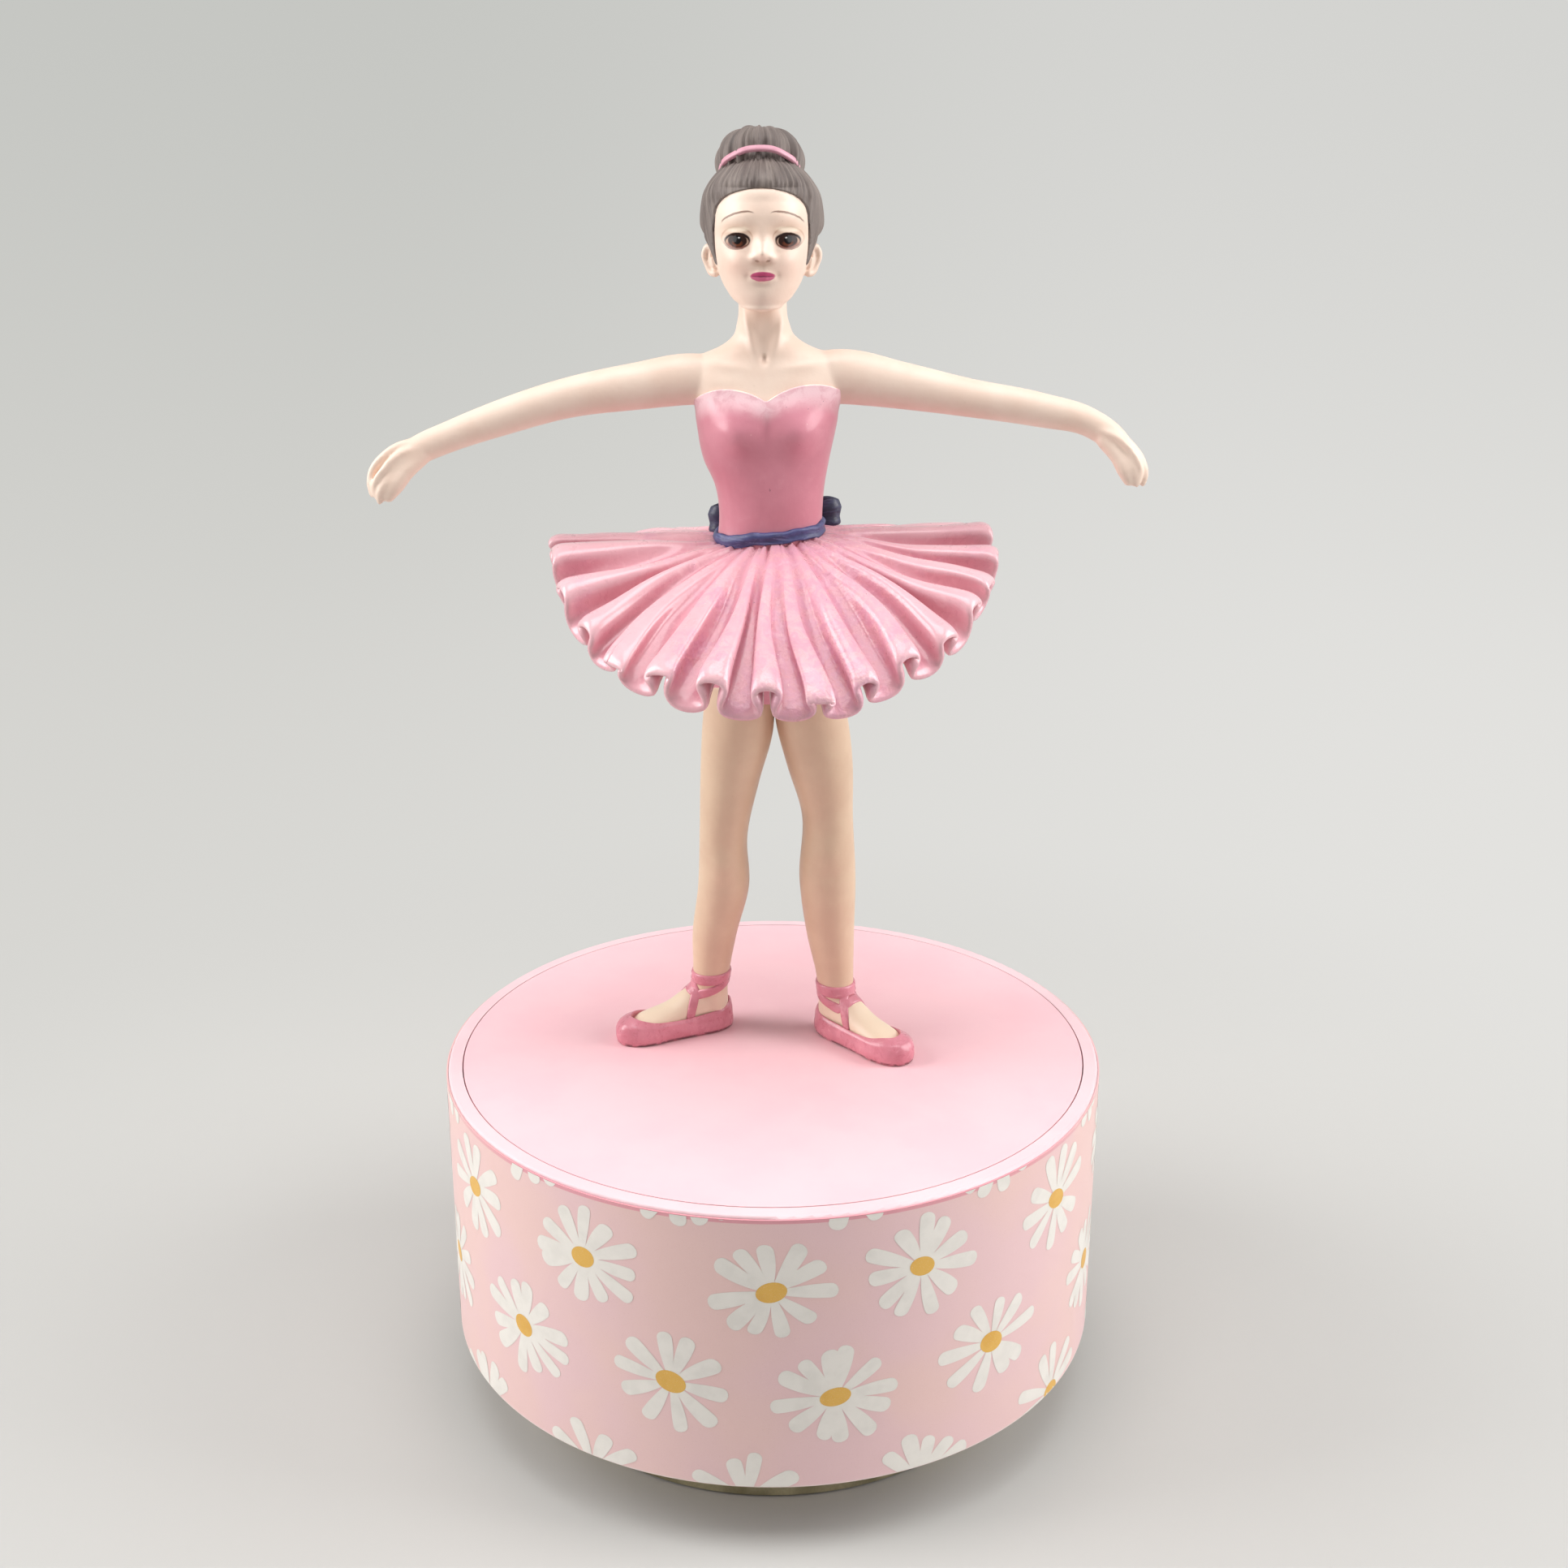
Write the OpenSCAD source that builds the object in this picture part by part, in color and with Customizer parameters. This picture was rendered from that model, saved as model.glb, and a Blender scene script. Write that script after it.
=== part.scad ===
// Ballerina music box: a cast resin dancer on a round drum that holds an
// 18-note movement. The drum turns on a metal foot; the foot is also
// the winding key. Millimetres, +Z up, origin on the table under the spindle.
// The dancer faces -Y.

/* [Drum] */
// Outer diameter of the drum over its printed film
drum_d = 105; // [95:1:115]
// Height of the drum from its lower edge to the top disc
drum_h = 45; // [44:1:55]
// Height of the drum's lower edge above the table
stand_off = 11.5; // [11:0.5:16]
// Thickness of the drum's moulded wall
wall = 2.2; // [1.6:0.1:2.6]
// Thickness of the printed film
film_t = 0.3; // [0.2:0.05:0.5]
// Radius of the rounded rim edge
rim_round = 0.5; // [0.3:0.1:1.5]
// Thickness of the top disc
disc_t = 3; // [2:0.1:4]
// Width of the groove round the top disc
groove = 0.2; // [0.2:0.05:0.6]
// Thickness of the ledge under the top disc
ledge_t = 2; // [1.5:0.1:3]
// Width of the ledge under the top disc
ledge_w = 3; // [2:0.5:4]
// Thickness of the bottom plate
plate_t = 2.5; // [2:0.1:3]
// Depth of the bottom plate inside the drum's lower edge
plate_recess = 1.5; // [1.3:0.1:2.5]

/* [Foot] */
// Outer diameter of the metal foot
foot_d = 80; // [70:1:88]
// Height of the metal foot
foot_h = 9.5; // [8:0.5:9.5]
// Sheet thickness of the foot
foot_wall = 1.2; // [0.8:0.1:1.5]
// Thickness of the rubber pad under the foot
pad_t = 1; // [0.6:0.1:1.5]
// Diameter of the winding spindle
spindle_d = 4; // [3:0.5:4]
// Outer diameter of the spindle collar
collar_d = 10; // [8:1:14]
// Thickness of the thrust washer
washer_t = 0.5; // [0.3:0.1:0.8]

/* [Movement] */
// Thickness of the cast bedplate
bed_t = 2.5; // [2:0.1:3]
// Outer diameter of the spring barrel
barrel_d = 26; // [26:0.5:26.5]
// Height of the spring barrel
barrel_h = 10.6; // [10:0.2:11]
// Wall of the spring barrel
barrel_wall = 0.8; // [0.6:0.1:1]
// Thickness of the mainspring
spring_t = 0.35; // [0.2:0.05:0.4]
// Turns of the mainspring
spring_turns = 6; // [4:1:8]
// Diameter of the tune cylinder without pins
cylinder_d = 12.8; // [12:0.2:12.8]
// Distance from the bedplate's outer end to the drum's wall; the tune cylinder takes the rest
end_room = 10.3; // [9.5:0.1:14]
// Length of a cylinder pin
pin_l = 0.7; // [0.5:0.1:0.9]
// Diameter of a cylinder pin
pin_d = 0.4; // [0.3:0.05:0.5]
// Notes on the comb
notes = 18; // [12:1:20]
// Gap between comb tips and pin tips
comb_gap = 0.25; // [0.15:0.05:0.5]
// Length of the comb's teeth
comb_tooth_l = 10.5; // [8:0.5:11]
// Thickness of the comb's teeth
comb_tooth_t = 0.9; // [0.6:0.1:1.1]
// Diameter of the fan
fan_d = 12; // [9:0.5:13]
// Height of the fan blades
fan_h = 4; // [3:0.5:5]

/* [Dancer] */
// Radius of the tutu at its hem
tutu_r = 34; // [28:1:38]
// Number of pleats in the tutu
pleats = 24; // [16:1:30]
// Depth of a pleat at the hem
pleat_depth = 3.6; // [1.5:0.1:4]
// Thickness of the tutu
tutu_t = 1.8; // [1.2:0.1:2.5]
// Height of the waist sash
sash_h = 2.4; // [1.6:0.1:3]
// Thickness of the waist sash
sash_t = 0.8; // [0.5:0.1:1.2]
// Width of the hair bun
bun_w = 12.5; // [10:0.5:14]
// Height of the hair bun
bun_h = 9.6; // [8:0.2:11]
// Thickness of the hair tie
tie_t = 1.4; // [1:0.1:2]
// Thickness of the shoe ribbons
ribbon_t = 0.5; // [0.3:0.1:0.8]
// Height of one shoe ribbon
ribbon_h = 1.7; // [1.2:0.1:2.2]

/* [Hidden] */
$fn = 96;
eps = 0.01;

// Clearances
running = 0.05;   // radial, shaft in a bearing
loose = 0.2;      // radial, plate in the drum
screw_gap = 0.1;  // radial, screw in a clearance hole

// Levels of the foot
drum_r = drum_d / 2;
shell_r = drum_r - film_t;
inner_r = shell_r - wall;
foot_r = foot_d / 2;
foot_lift = 0.3;
spindle_r = spindle_d / 2;
base_t = 1;
nut_h = 3;
nut_r = 4;
plate_z = stand_off + plate_recess;
collar_top = plate_z - washer_t;

// Levels of the drum
top_z = stand_off + drum_h;
disc_z = top_z - disc_t;
bed_z = plate_z + plate_t;
boss_r = 3.5;
boss_l = 11;
boss_pos = inner_r - 3.2;
case_screw_r = 1.25;
case_head_r = 2.4;
head_h = 1.1;
bore_spare = 2;

// Levels and places of the movement
barrel_r = barrel_d / 2;
barrel_z = bed_z + bed_t;
cover_t = 0.8;
wheel_z = barrel_z + barrel_h + cover_t + 0.3;
wheel_t = 1.3;
tooth_h = 1;
crown_teeth = 48;
crown_m = 0.5;
crown_mid = crown_teeth * crown_m / 2 + 0.1;
crown_face = 1.6;
crown_tooth_t = 0.6;
pinion_teeth = 12;
pinion_w = 2;
axis_z = wheel_z + wheel_t + tooth_h / 2 + pinion_teeth * crown_m / 2 + 0.1;
arbor_r = 1;
arbor_end = 0.3;
post_t = 1.2;
post_gap = 0.45;
wheel_gap = 0.6;
gear_gap = 0.9;
pinion_x = crown_mid - pinion_w / 2;
post1_x = pinion_x + pinion_w + post_gap;
cylinder_x = post1_x + post_t + post_gap;
post3_x = inner_r - end_room - post_t;
wheel_w = 1.4;
wheel_x = post3_x - wheel_gap - wheel_w;
gear_w = 1.8;
gear_x = wheel_x - gear_gap - gear_w;
post2_x = gear_x - post_gap - post_t;
cylinder_l = post2_x - post_gap - cylinder_x;
gear_teeth = 36;
gear_m = 0.45;
gov_teeth = 10;
gov_y = gear_m * (gear_teeth + gov_teeth) / 2 + 0.1;
gov_r = 0.75;
wheel_teeth = 24;
wheel_m = 0.5;
worm_x = wheel_x + wheel_w / 2;
worm_starts = 2;
worm_core = 1.95;
worm_tip = 2.9;
worm_lead = worm_starts * PI * wheel_m;
worm_y = gov_y + wheel_teeth * wheel_m / 2 + 2.55;
worm_l = 11;
worm_z = axis_z - worm_l / 2;
fan_arbor_r = 0.5;
arm_t = 1.2;
arm_gap = 1;
arm_w = 4;
bracket_y = worm_y + worm_tip + 0.7;
bracket_t = 1.4;
fan_z = worm_z + worm_l + arm_gap + arm_t + 1;
post_w = 5.4;
post_top = axis_z + 2.7;
tooth_mid_z = axis_z - comb_tooth_t / 2;
comb_y = cylinder_d / 2 + pin_l + comb_gap;
comb_root_w = 9;
comb_root_t = 2.2;
comb_w = cylinder_l;
comb_screw_r = 1.25;
comb_head_r = 2.2;
comb_head_t = 1.2;
comb_bore_l = 8;
movement_head_r = 2.3;
bracket_screw_r = 0.8;
bracket_head_r = 1.6;
bracket_head_t = 0.9;
hub_r = 4.2;
movement_screws_xy = [[-9, 9], [-9, -9], [cylinder_x + cylinder_l / 2, -comb_y - comb_tooth_l - 4.5],
    [worm_x, gov_y + 1]];

// The dancer's stations are [height, centre x, centre y, half width, half depth], above the top disc
leg_sides = 16;
right_leg_st = [[1.2, -9.8, 7.8, 2.0, 2.2], [3.5, -10.0, 7.6, 2.5, 2.7], [7.4, -10.4, 7.2, 2.9, 3.1],
    [10.5, -10.15, 6.6, 3.0, 3.1], [17.5, -9.5, 5.5, 3.6, 3.7], [26.6, -7.9, 4, 4.1, 4.3],
    [35.5, -7.8, 2.5, 3.8, 4.1], [45.3, -6.8, 1.5, 4.6, 4.8], [54.9, -5.6, 0.5, 5.0, 5.2],
    [60, -5.15, 0.2, 4.95, 5.3]];
left_leg_st = [[1.2, 9.6, 5.4, 2.0, 2.2], [3.5, 9.9, 5.2, 2.5, 2.7], [6.2, 10.3, 4.9, 2.9, 3.1],
    [10, 10.1, 4.7, 3.0, 3.1], [17.7, 9.4, 4.2, 3.7, 3.8], [28.2, 8.9, 3.2, 4.3, 4.4],
    [39.7, 8.7, 2, 3.9, 4.1], [48.1, 7.4, 1, 4.9, 4.9], [54.9, 6.0, 0.5, 5.5, 5.3],
    [60, 5.2, 0.2, 4.95, 5.3]];
// Foot stations along the foot from the heel: [along, half width, underside, top]
foot_st = [[0.9, 1.5, 0.8, 3.6], [2, 2.2, 0.8, 5.2], [5, 2.6, 0.8, 8.6], [8, 2.5, 0.8, 7.4],
    [11, 2.7, 0.8, 5.6], [14, 2.9, 0.8, 4.6], [16, 2.7, 0.8, 4.0], [18.2, 1.4, 0.8, 2.4]];
shoe_st = [[0, 1.2, 0.4, 3.4], [0.7, 2.4, -0.3, 4.5], [2.2, 3.1, -0.5, 5.0], [5, 3.3, -0.5, 4.4],
    [8, 3.2, -0.5, 3.7], [11, 3.4, -0.5, 3.5], [14.5, 3.6, -0.5, 3.9], [16.5, 3.4, -0.5, 4.3],
    [18.8, 2.6, -0.3, 3.8], [20.2, 1.2, 0.4, 2.6]];
// Where each heel stands and the way its toes point: [x, y, degrees]
right_heel = [-6.8, 8.9, 202.5];
left_heel = [7.5, 7.5, -45];
strap_along = 6.6;
strap_lean = -12;
screw_along = 5;
figure_screw_r = 1.2;
figure_screw_l = 7;
figure_head_r = 2.6;
figure_head_t = 1.6;
pilot_spare = 0.5;
shoe_space = [30, 20, 10];
strap_z = 2.5;
upper_band_z = 2.4;
lower_band_z = 1;
band_ease = 0.1;
hip_z = 60;
body_sides = 32;
body_st = [[hip_z, 0, 0.2, 10.2, 5.6], [66, -0.1, 0.3, 10.4, 6.5], [73, -0.2, 0.3, 10.0, 6.6],
    [79, -0.3, 0.2, 8.6, 6.1], [82.5, -0.4, 0.1, 7.8, 5.8], [85.5, -0.4, 0, 7.5, 5.6],
    [89, -0.45, 0, 8.15, 5.9], [95, -0.75, 0, 9.15, 6.4], [101, -0.7, -0.2, 10.1, 6.9],
    [103.8, -0.7, -0.1, 10.35, 6.4],
    [105.4, -0.6, 0.1, 11.6, 5.7], [107.6, -0.6, 0.3, 12.8, 5.0], [109.4, -0.6, 0.5, 12.3, 4.4],
    [110.6, -0.7, 0.7, 10.4, 4.1], [111.6, -0.9, 0.9, 7.4, 3.9], [113, -1.1, 1.1, 4.8, 3.7],
    [115, -1.25, 1.2, 3.8, 3.6], [118.2, -1.3, 1.2, 3.6, 3.5]];
waist_st = [for (s = body_st) if (s[0] > 78 && s[0] < 92) s];
neck_st = [for (s = body_st) if (s[0] > 112) s];
neck_dip = [-0.7, 103.6];
neck_hump_z = 105.5;
neck_side_z = 103.8;
neck_back_z = 103;
shoulder_x = [-11.4, 10.4];
shoulder_w = shoulder_x[1] - shoulder_x[0];
// Arm stations: [x, y, height, half thickness across, half depth]
arm_sides = 16;
right_arm_st = [[-11.4, 0.4, 107.1, 3.8, 3.3], [-19.6, 0.2, 106.1, 3.4, 3.0], [-29.7, -0.5, 104.5, 2.9, 2.7],
    [-39.2, -1.3, 101.8, 2.6, 2.4], [-46.5, -2.2, 99.3, 2.3, 2.1], [-51.4, -3, 97.2, 2.2, 2.0],
    [-54.5, -3.4, 95.4, 2.6, 2.4], [-56.6, -3.7, 93.2, 2.5, 2.6], [-57.0, -3.8, 91.2, 1.8, 2.2],
    [-57.0, -3.8, 90.0, 1.0, 1.4]];
left_arm_st = [[10.4, 0.4, 107.2, 3.9, 3.3], [18.8, 0.2, 106.1, 3.4, 3.0], [28.2, -0.5, 104.6, 2.8, 2.7],
    [38.9, -1.3, 102.9, 2.5, 2.4], [46.1, -2.2, 101.2, 2.1, 2.1], [49.6, -3, 99.1, 2.0, 1.9],
    [51.9, -3.4, 96.8, 2.2, 2.2], [53.0, -3.7, 94.7, 2.1, 2.4], [53.3, -3.8, 93.0, 1.6, 2.0],
    [53.4, -3.8, 92.2, 1.0, 1.3]];
head_st = [[117.4, -1.4, -4.0, 1.6, 1.9], [118.2, -1.4, -2.7, 3.0, 3.6], [120, -1.4, -1.3, 4.5, 5.6],
    [122.5, -1.4, -0.3, 5.9, 7.0], [125.5, -1.4, 0.1, 6.8, 8.0], [129, -1.4, 0.4, 7.1, 8.4],
    [132, -1.4, 0.6, 6.8, 8.0], [134.4, -1.4, 0.8, 5.4, 6.4], [135.8, -1.4, 1.0, 2.6, 3.2]];
hair_st = [[119.8, -1.4, 4.8, 2.6, 2.2], [121.2, -1.4, 3.6, 5.4, 4.8], [123.5, -1.4, 2.2, 7.6, 7.4],
    [126.5, -1.4, 1.4, 8.3, 9.0], [130.5, -1.4, 1.2, 8.6, 9.6], [133.6, -1.4, 1.3, 7.8, 8.8],
    [135.9, -1.4, 1.6, 5.9, 6.8], [137.2, -1.4, 2.0, 3.0, 3.6]];
head_sides = 24;
ear = [6.9, 0.6, 123.6];
face = [7.1, 8.4, 124.2];
bun_at = [-1.65, 3.6, 137.0];
bun_tilt = -24;
tie_r = 5.95;
tie_below = 0.9;
sash_z = 84.4;
sash_tilt = -7;
tutu_top = 83.2;
tutu_root = 5.5;
side_rise = 0.7;
side_lean = 0.6;
front_drop = 15;
back_drop = 8;
bow_at = [0.35, 6.2, 86.1];

// ---------- helpers ----------

// A closed skin through rings of equally many points
module loft(rings) {
    n = len(rings[0]);
    m = len(rings);
    polyhedron(points = [for (r = rings) each r],
        faces = concat([[for (i = [0:n - 1]) i]], [[for (i = [n - 1:-1:0]) (m - 1) * n + i]],
            [for (k = [0:m - 2], i = [0:n - 1]) let (j = (i + 1) % n)
                each [[k * n + i, (k + 1) * n + i, (k + 1) * n + j],
                    [k * n + i, (k + 1) * n + j, k * n + j]]]),
        convexity = 6);
}

// Level ellipses stacked up, each [height, centre x, centre y, half width, half depth]
module stack(stations, sides, grow = 0) {
    loft([for (s = stations) [for (i = [0:sides - 1]) let (a = 360 * i / sides)
        [s[1] + (s[3] + grow) * cos(a), s[2] + (s[4] + grow) * sin(a), s[0]]]]);
}

// Upright ovals along +X, each [along, half width, underside, top]
module along(stations, sides) {
    loft([for (s = stations) [for (i = [0:sides - 1]) let (a = 360 * i / sides)
        [s[0], s[1] * cos(a), (s[2] + s[3]) / 2 + (s[3] - s[2]) / 2 * sin(a)]]]);
}

function unit(v) = v / norm(v);
function point(s) = [s[0], s[1], s[2]];

// One oval across a limb's path, at station i
function limb_ring(st, i, sides) =
    let (ahead = point(st[min(i + 1, len(st) - 1)]), behind = point(st[max(i - 1, 0)]),
        d = unit(ahead - behind), e1 = unit([0, 1, 0] - d * d[1]), e2 = cross(d, e1))
    [for (k = [0:sides - 1]) let (a = 360 * k / sides)
        point(st[i]) + st[i][4] * cos(a) * e1 + st[i][3] * sin(a) * e2];

// The first ring of an arm lies flat against the shoulder
function shoulder_ring(s, sides, side) = [for (k = [0:sides - 1]) let (a = side * 360 * k / sides)
    point(s) + [0, s[4] * cos(a), s[3] * sin(a)]];

module limb(st, sides, side) {
    loft(concat([shoulder_ring(st[0], sides, side)], [for (i = [1:len(st) - 1]) limb_ring(st, i, sides)]));
}

// A spur gear about +X, its first tooth or gap on +Y
module x_gear(teeth, m, width, bore, share = 0.38, gap_first = false) {
    pitch = teeth * m / 2;
    half = share * 180 / teeth;
    profile = [[pitch - 1.1 * m, 1.5], [pitch, 1], [pitch + 0.85 * m, 0.55]];
    points = [for (t = [0:teeth - 1]) let (c = 360 * t / teeth + (gap_first ? 180 / teeth : 0))
        each concat([for (p = profile) p[0] * [cos(c - half * p[1]), sin(c - half * p[1])]],
            [for (k = [2:-1:0]) let (p = profile[k]) p[0] * [cos(c + half * p[1]), sin(c + half * p[1])]])];
    rotate([90, 0, 90]) difference() {
        linear_extrude(width) polygon(points);
        translate([0, 0, -eps]) cylinder(r = bore, h = width + 2 * eps, $fn = 32);
    }
}

// A round bar along +X
module x_bar(r, l) {
    rotate([0, 90, 0]) cylinder(r = r, h = l, $fn = 32);
}

module tube(outer, inner, h) {
    difference() {
        cylinder(r = outer, h = h);
        translate([0, 0, -eps]) cylinder(r = inner, h = h + 2 * eps);
    }
}

// A pan-head screw pointing up, its head's upper face at the origin
module screw(r, l, head_r, head_t) {
    translate([0, 0, -head_t]) difference() {
        cylinder(r = head_r, h = head_t, $fn = 32);
        translate([0, 0, head_t * 0.25]) cube([head_r * 1.5, 0.5, head_t * 0.6], center = true);
    }
    translate([0, 0, -eps]) cylinder(r = r, h = l + eps, $fn = 32);
}

module at_case_screws() {
    for (a = [60, 180, 300]) rotate(a) translate([boss_pos, 0, 0]) children();
}

module at_movement_screws() {
    for (p = movement_screws_xy) translate([p[0], p[1], 0]) children();
}

module at_comb_screws() {
    for (x = [cylinder_x + 3, cylinder_x + cylinder_l - 3])
        translate([x, -comb_y - comb_tooth_l - comb_root_w / 2, 0]) children();
}

module at_figure_screws() {
    for (h = [right_heel, left_heel])
        translate([h[0] + screw_along * cos(h[2]), h[1] + screw_along * sin(h[2]), 0]) children();
}

// ---------- foot ----------

module foot_dish() {
    edge = 1.5;
    color("darkkhaki") rotate_extrude() {
        translate([spindle_r, foot_h - foot_wall]) square([foot_r - spindle_r - edge, foot_wall]);
        translate([foot_r - foot_wall, foot_lift]) square([foot_wall, foot_h - foot_lift - edge]);
        translate([foot_r - edge, foot_h - edge]) intersection() {
            difference() {
                circle(r = edge, $fn = 48);
                circle(r = edge - foot_wall, $fn = 48);
            }
            square(edge);
        }
    }
}

module foot_base_plate() {
    color("silver") translate([0, 0, pad_t]) cylinder(r = foot_r - foot_wall, h = base_t);
}

module foot_pad() {
    color("dimgray") cylinder(r = foot_r - foot_wall - loose, h = pad_t);
}

module winding_spindle() {
    color("silver") translate([0, 0, pad_t + base_t + 1])
        cylinder(r = spindle_r, h = wheel_z + wheel_t + tooth_h - pad_t - base_t - 1, $fn = 48);
}

module spindle_nut() {
    color("silver") translate([0, 0, foot_h - foot_wall - nut_h]) difference() {
        cylinder(r = nut_r, h = nut_h, $fn = 6);
        translate([0, 0, -eps]) cylinder(r = spindle_r, h = nut_h + 2 * eps, $fn = 48);
    }
}

module spindle_collar() {
    color("goldenrod") translate([0, 0, foot_h]) tube(collar_d / 2, spindle_r, collar_top - foot_h);
}

module thrust_washer() {
    color("whitesmoke") translate([0, 0, collar_top]) tube(collar_d / 2 + 1, spindle_r, washer_t);
}

module spring_arbor() {
    color("silver") translate([0, 0, barrel_z + 1.2]) tube(hub_r, spindle_r, barrel_h - 1.4);
}

module great_wheel() {
    color("ivory") translate([0, 0, wheel_z]) difference() {
        union() {
            cylinder(r = crown_mid + crown_face / 2 + 0.1, h = wheel_t);
            for (i = [0:crown_teeth - 1]) rotate(360 * i / crown_teeth)
                translate([crown_mid - crown_face / 2, -crown_tooth_t / 2, wheel_t - eps])
                    cube([crown_face, crown_tooth_t, tooth_h + eps]);
        }
        translate([0, 0, -eps]) cylinder(r = spindle_r, h = wheel_t + 2 * eps, $fn = 48);
    }
}

// ---------- drum ----------

module drum_shell() {
    color("pink") difference() {
        union() {
            rotate_extrude() {
                translate([inner_r, stand_off]) square([wall, drum_h - rim_round]);
                translate([inner_r, top_z - rim_round]) square([wall - rim_round, rim_round]);
                intersection() {
                    translate([shell_r - rim_round, top_z - rim_round]) circle(r = rim_round, $fn = 48);
                    translate([shell_r - rim_round, top_z - rim_round]) square([rim_round, rim_round]);
                }
                translate([inner_r - ledge_w, disc_z - ledge_t]) square([ledge_w + eps, ledge_t]);
            }
            at_case_screws() translate([0, 0, bed_z]) cylinder(r = boss_r, h = boss_l, $fn = 48);
        }
        at_case_screws() translate([0, 0, bed_z - eps])
            cylinder(r = case_screw_r + running, h = boss_l - bore_spare / 2, $fn = 32);
        difference() {
            translate([0, 0, stand_off - 1]) cylinder(r = drum_r + 10, h = drum_h + 2);
            translate([0, 0, stand_off - 2]) cylinder(r = shell_r, h = drum_h + 4);
        }
    }
}

module daisy_film() {
    color("lightpink") translate([0, 0, stand_off + 0.2]) tube(drum_r, shell_r, drum_h - rim_round - 0.2);
}

module top_disc() {
    color("pink") difference() {
        translate([0, 0, disc_z]) cylinder(r = inner_r - groove, h = disc_t);
        at_figure_screws() translate([0, 0, disc_z - eps])
            cylinder(r = figure_screw_r + screw_gap, h = disc_t + 2 * eps, $fn = 32);
    }
}

module bottom_plate() {
    color("ivory") translate([0, 0, plate_z]) difference() {
        cylinder(r = inner_r - loose, h = plate_t);
        translate([0, 0, -eps]) cylinder(r = spindle_r + 2 * screw_gap, h = plate_t + 2 * eps, $fn = 48);
        at_case_screws() translate([0, 0, -eps])
            cylinder(r = case_screw_r + screw_gap, h = plate_t + 2 * eps, $fn = 32);
        at_movement_screws() translate([0, 0, -eps])
            cylinder(r = case_screw_r + screw_gap, h = plate_t + 2 * eps, $fn = 32);
    }
}

module case_screws() {
    color("silver") at_case_screws() translate([0, 0, plate_z])
        screw(case_screw_r, plate_t + boss_l - 1.5 * bore_spare, case_head_r, head_h);
}

module figure_screws() {
    color("silver") at_figure_screws() translate([0, 0, disc_z])
        screw(figure_screw_r, disc_t + figure_screw_l, figure_head_r, figure_head_t);
}

// ---------- movement ----------

module bedplate() {
    comb_back = comb_y + comb_tooth_l + comb_root_w;
    color("gray") difference() {
        union() {
            translate([0, 0, bed_z]) cylinder(r = barrel_r + 2.5, h = bed_t);
            translate([0, -comb_back, bed_z])
                cube([post3_x + post_t, comb_back + gov_y + post_w / 2, bed_t]);
            translate([worm_x - 5, gov_y, bed_z]) cube([9, bracket_y + bracket_t - gov_y, bed_t]);
            // Platform under the comb
            translate([cylinder_x, -comb_back, bed_z])
                cube([comb_w, comb_root_w, tooth_mid_z - bed_z]);
            // Bearing posts
            translate([post1_x, -post_w / 2, bed_z]) cube([post_t, post_w, post_top - bed_z]);
            translate([post2_x, -post_w / 2, bed_z])
                cube([post_t, gov_y + post_w - 0.9, post_top - bed_z]);
            translate([post3_x, gov_y - post_w / 2, bed_z]) cube([post_t, post_w, post_top - bed_z]);
        }
        translate([0, 0, bed_z - eps]) cylinder(r = spindle_r + running, h = bed_t + 2 * eps, $fn = 48);
        at_movement_screws() translate([0, 0, bed_z - eps])
            cylinder(r = case_screw_r + running, h = bed_t + 2 * eps, $fn = 32);
        translate([post1_x - eps, 0, axis_z]) x_bar(arbor_r + running, post_t + 2 * eps);
        translate([post2_x - eps, 0, axis_z]) x_bar(arbor_r + running, post_t + 2 * eps);
        translate([post2_x - eps, gov_y, axis_z]) x_bar(gov_r + running, post_t + 2 * eps);
        translate([post3_x - eps, gov_y, axis_z]) x_bar(gov_r + running, post_t + 2 * eps);
        at_comb_screws() translate([0, 0, tooth_mid_z - comb_bore_l])
            cylinder(r = comb_screw_r + running, h = comb_bore_l + eps, $fn = 32);
    }
}

module movement_screws() {
    color("silver") at_movement_screws() translate([0, 0, plate_z])
        screw(case_screw_r, plate_t + bed_t - 2 * running, movement_head_r, head_h);
}

module spring_barrel() {
    color("silver") translate([0, 0, barrel_z]) difference() {
        cylinder(r = barrel_r, h = barrel_h);
        translate([0, 0, 1]) cylinder(r = barrel_r - barrel_wall, h = barrel_h);
        translate([0, 0, -eps]) cylinder(r = spindle_r + running, h = 2, $fn = 48);
    }
}

module barrel_cover() {
    color("silver") translate([0, 0, barrel_z + barrel_h]) tube(barrel_r, spindle_r + running, cover_t);
}

module mainspring() {
    start_r = hub_r + 0.4;
    end_r = barrel_r - barrel_wall - spring_t - 0.05;
    steps = 24 * spring_turns;
    spiral = [for (i = [0:steps]) let (a = 15 * i, r = start_r + (end_r - start_r) * i / steps) [r, a]];
    color("steelblue") translate([0, 0, barrel_z + 1.5]) linear_extrude(barrel_h - 2)
        polygon(concat([for (p = spiral) p[0] * [cos(p[1]), sin(p[1])]],
            [for (i = [steps:-1:0]) let (p = spiral[i]) (p[0] + spring_t) * [cos(p[1]), sin(p[1])]]));
}

module comb() {
    pitch = comb_w / notes;
    gap = 0.22;
    root_y = -comb_y - comb_tooth_l;
    color("lightgray") difference() {
        union() {
            translate([cylinder_x, root_y - comb_root_w, tooth_mid_z])
                cube([comb_w, comb_root_w, comb_root_t]);
            for (i = [0:notes - 1])
                translate([cylinder_x + i * pitch + gap / 2, root_y - eps, tooth_mid_z])
                    cube([pitch - gap, comb_tooth_l + eps, comb_tooth_t]);
        }
        at_comb_screws() translate([0, 0, tooth_mid_z - eps])
            cylinder(r = comb_screw_r + screw_gap, h = comb_root_t + 2 * eps, $fn = 32);
    }
}

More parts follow.
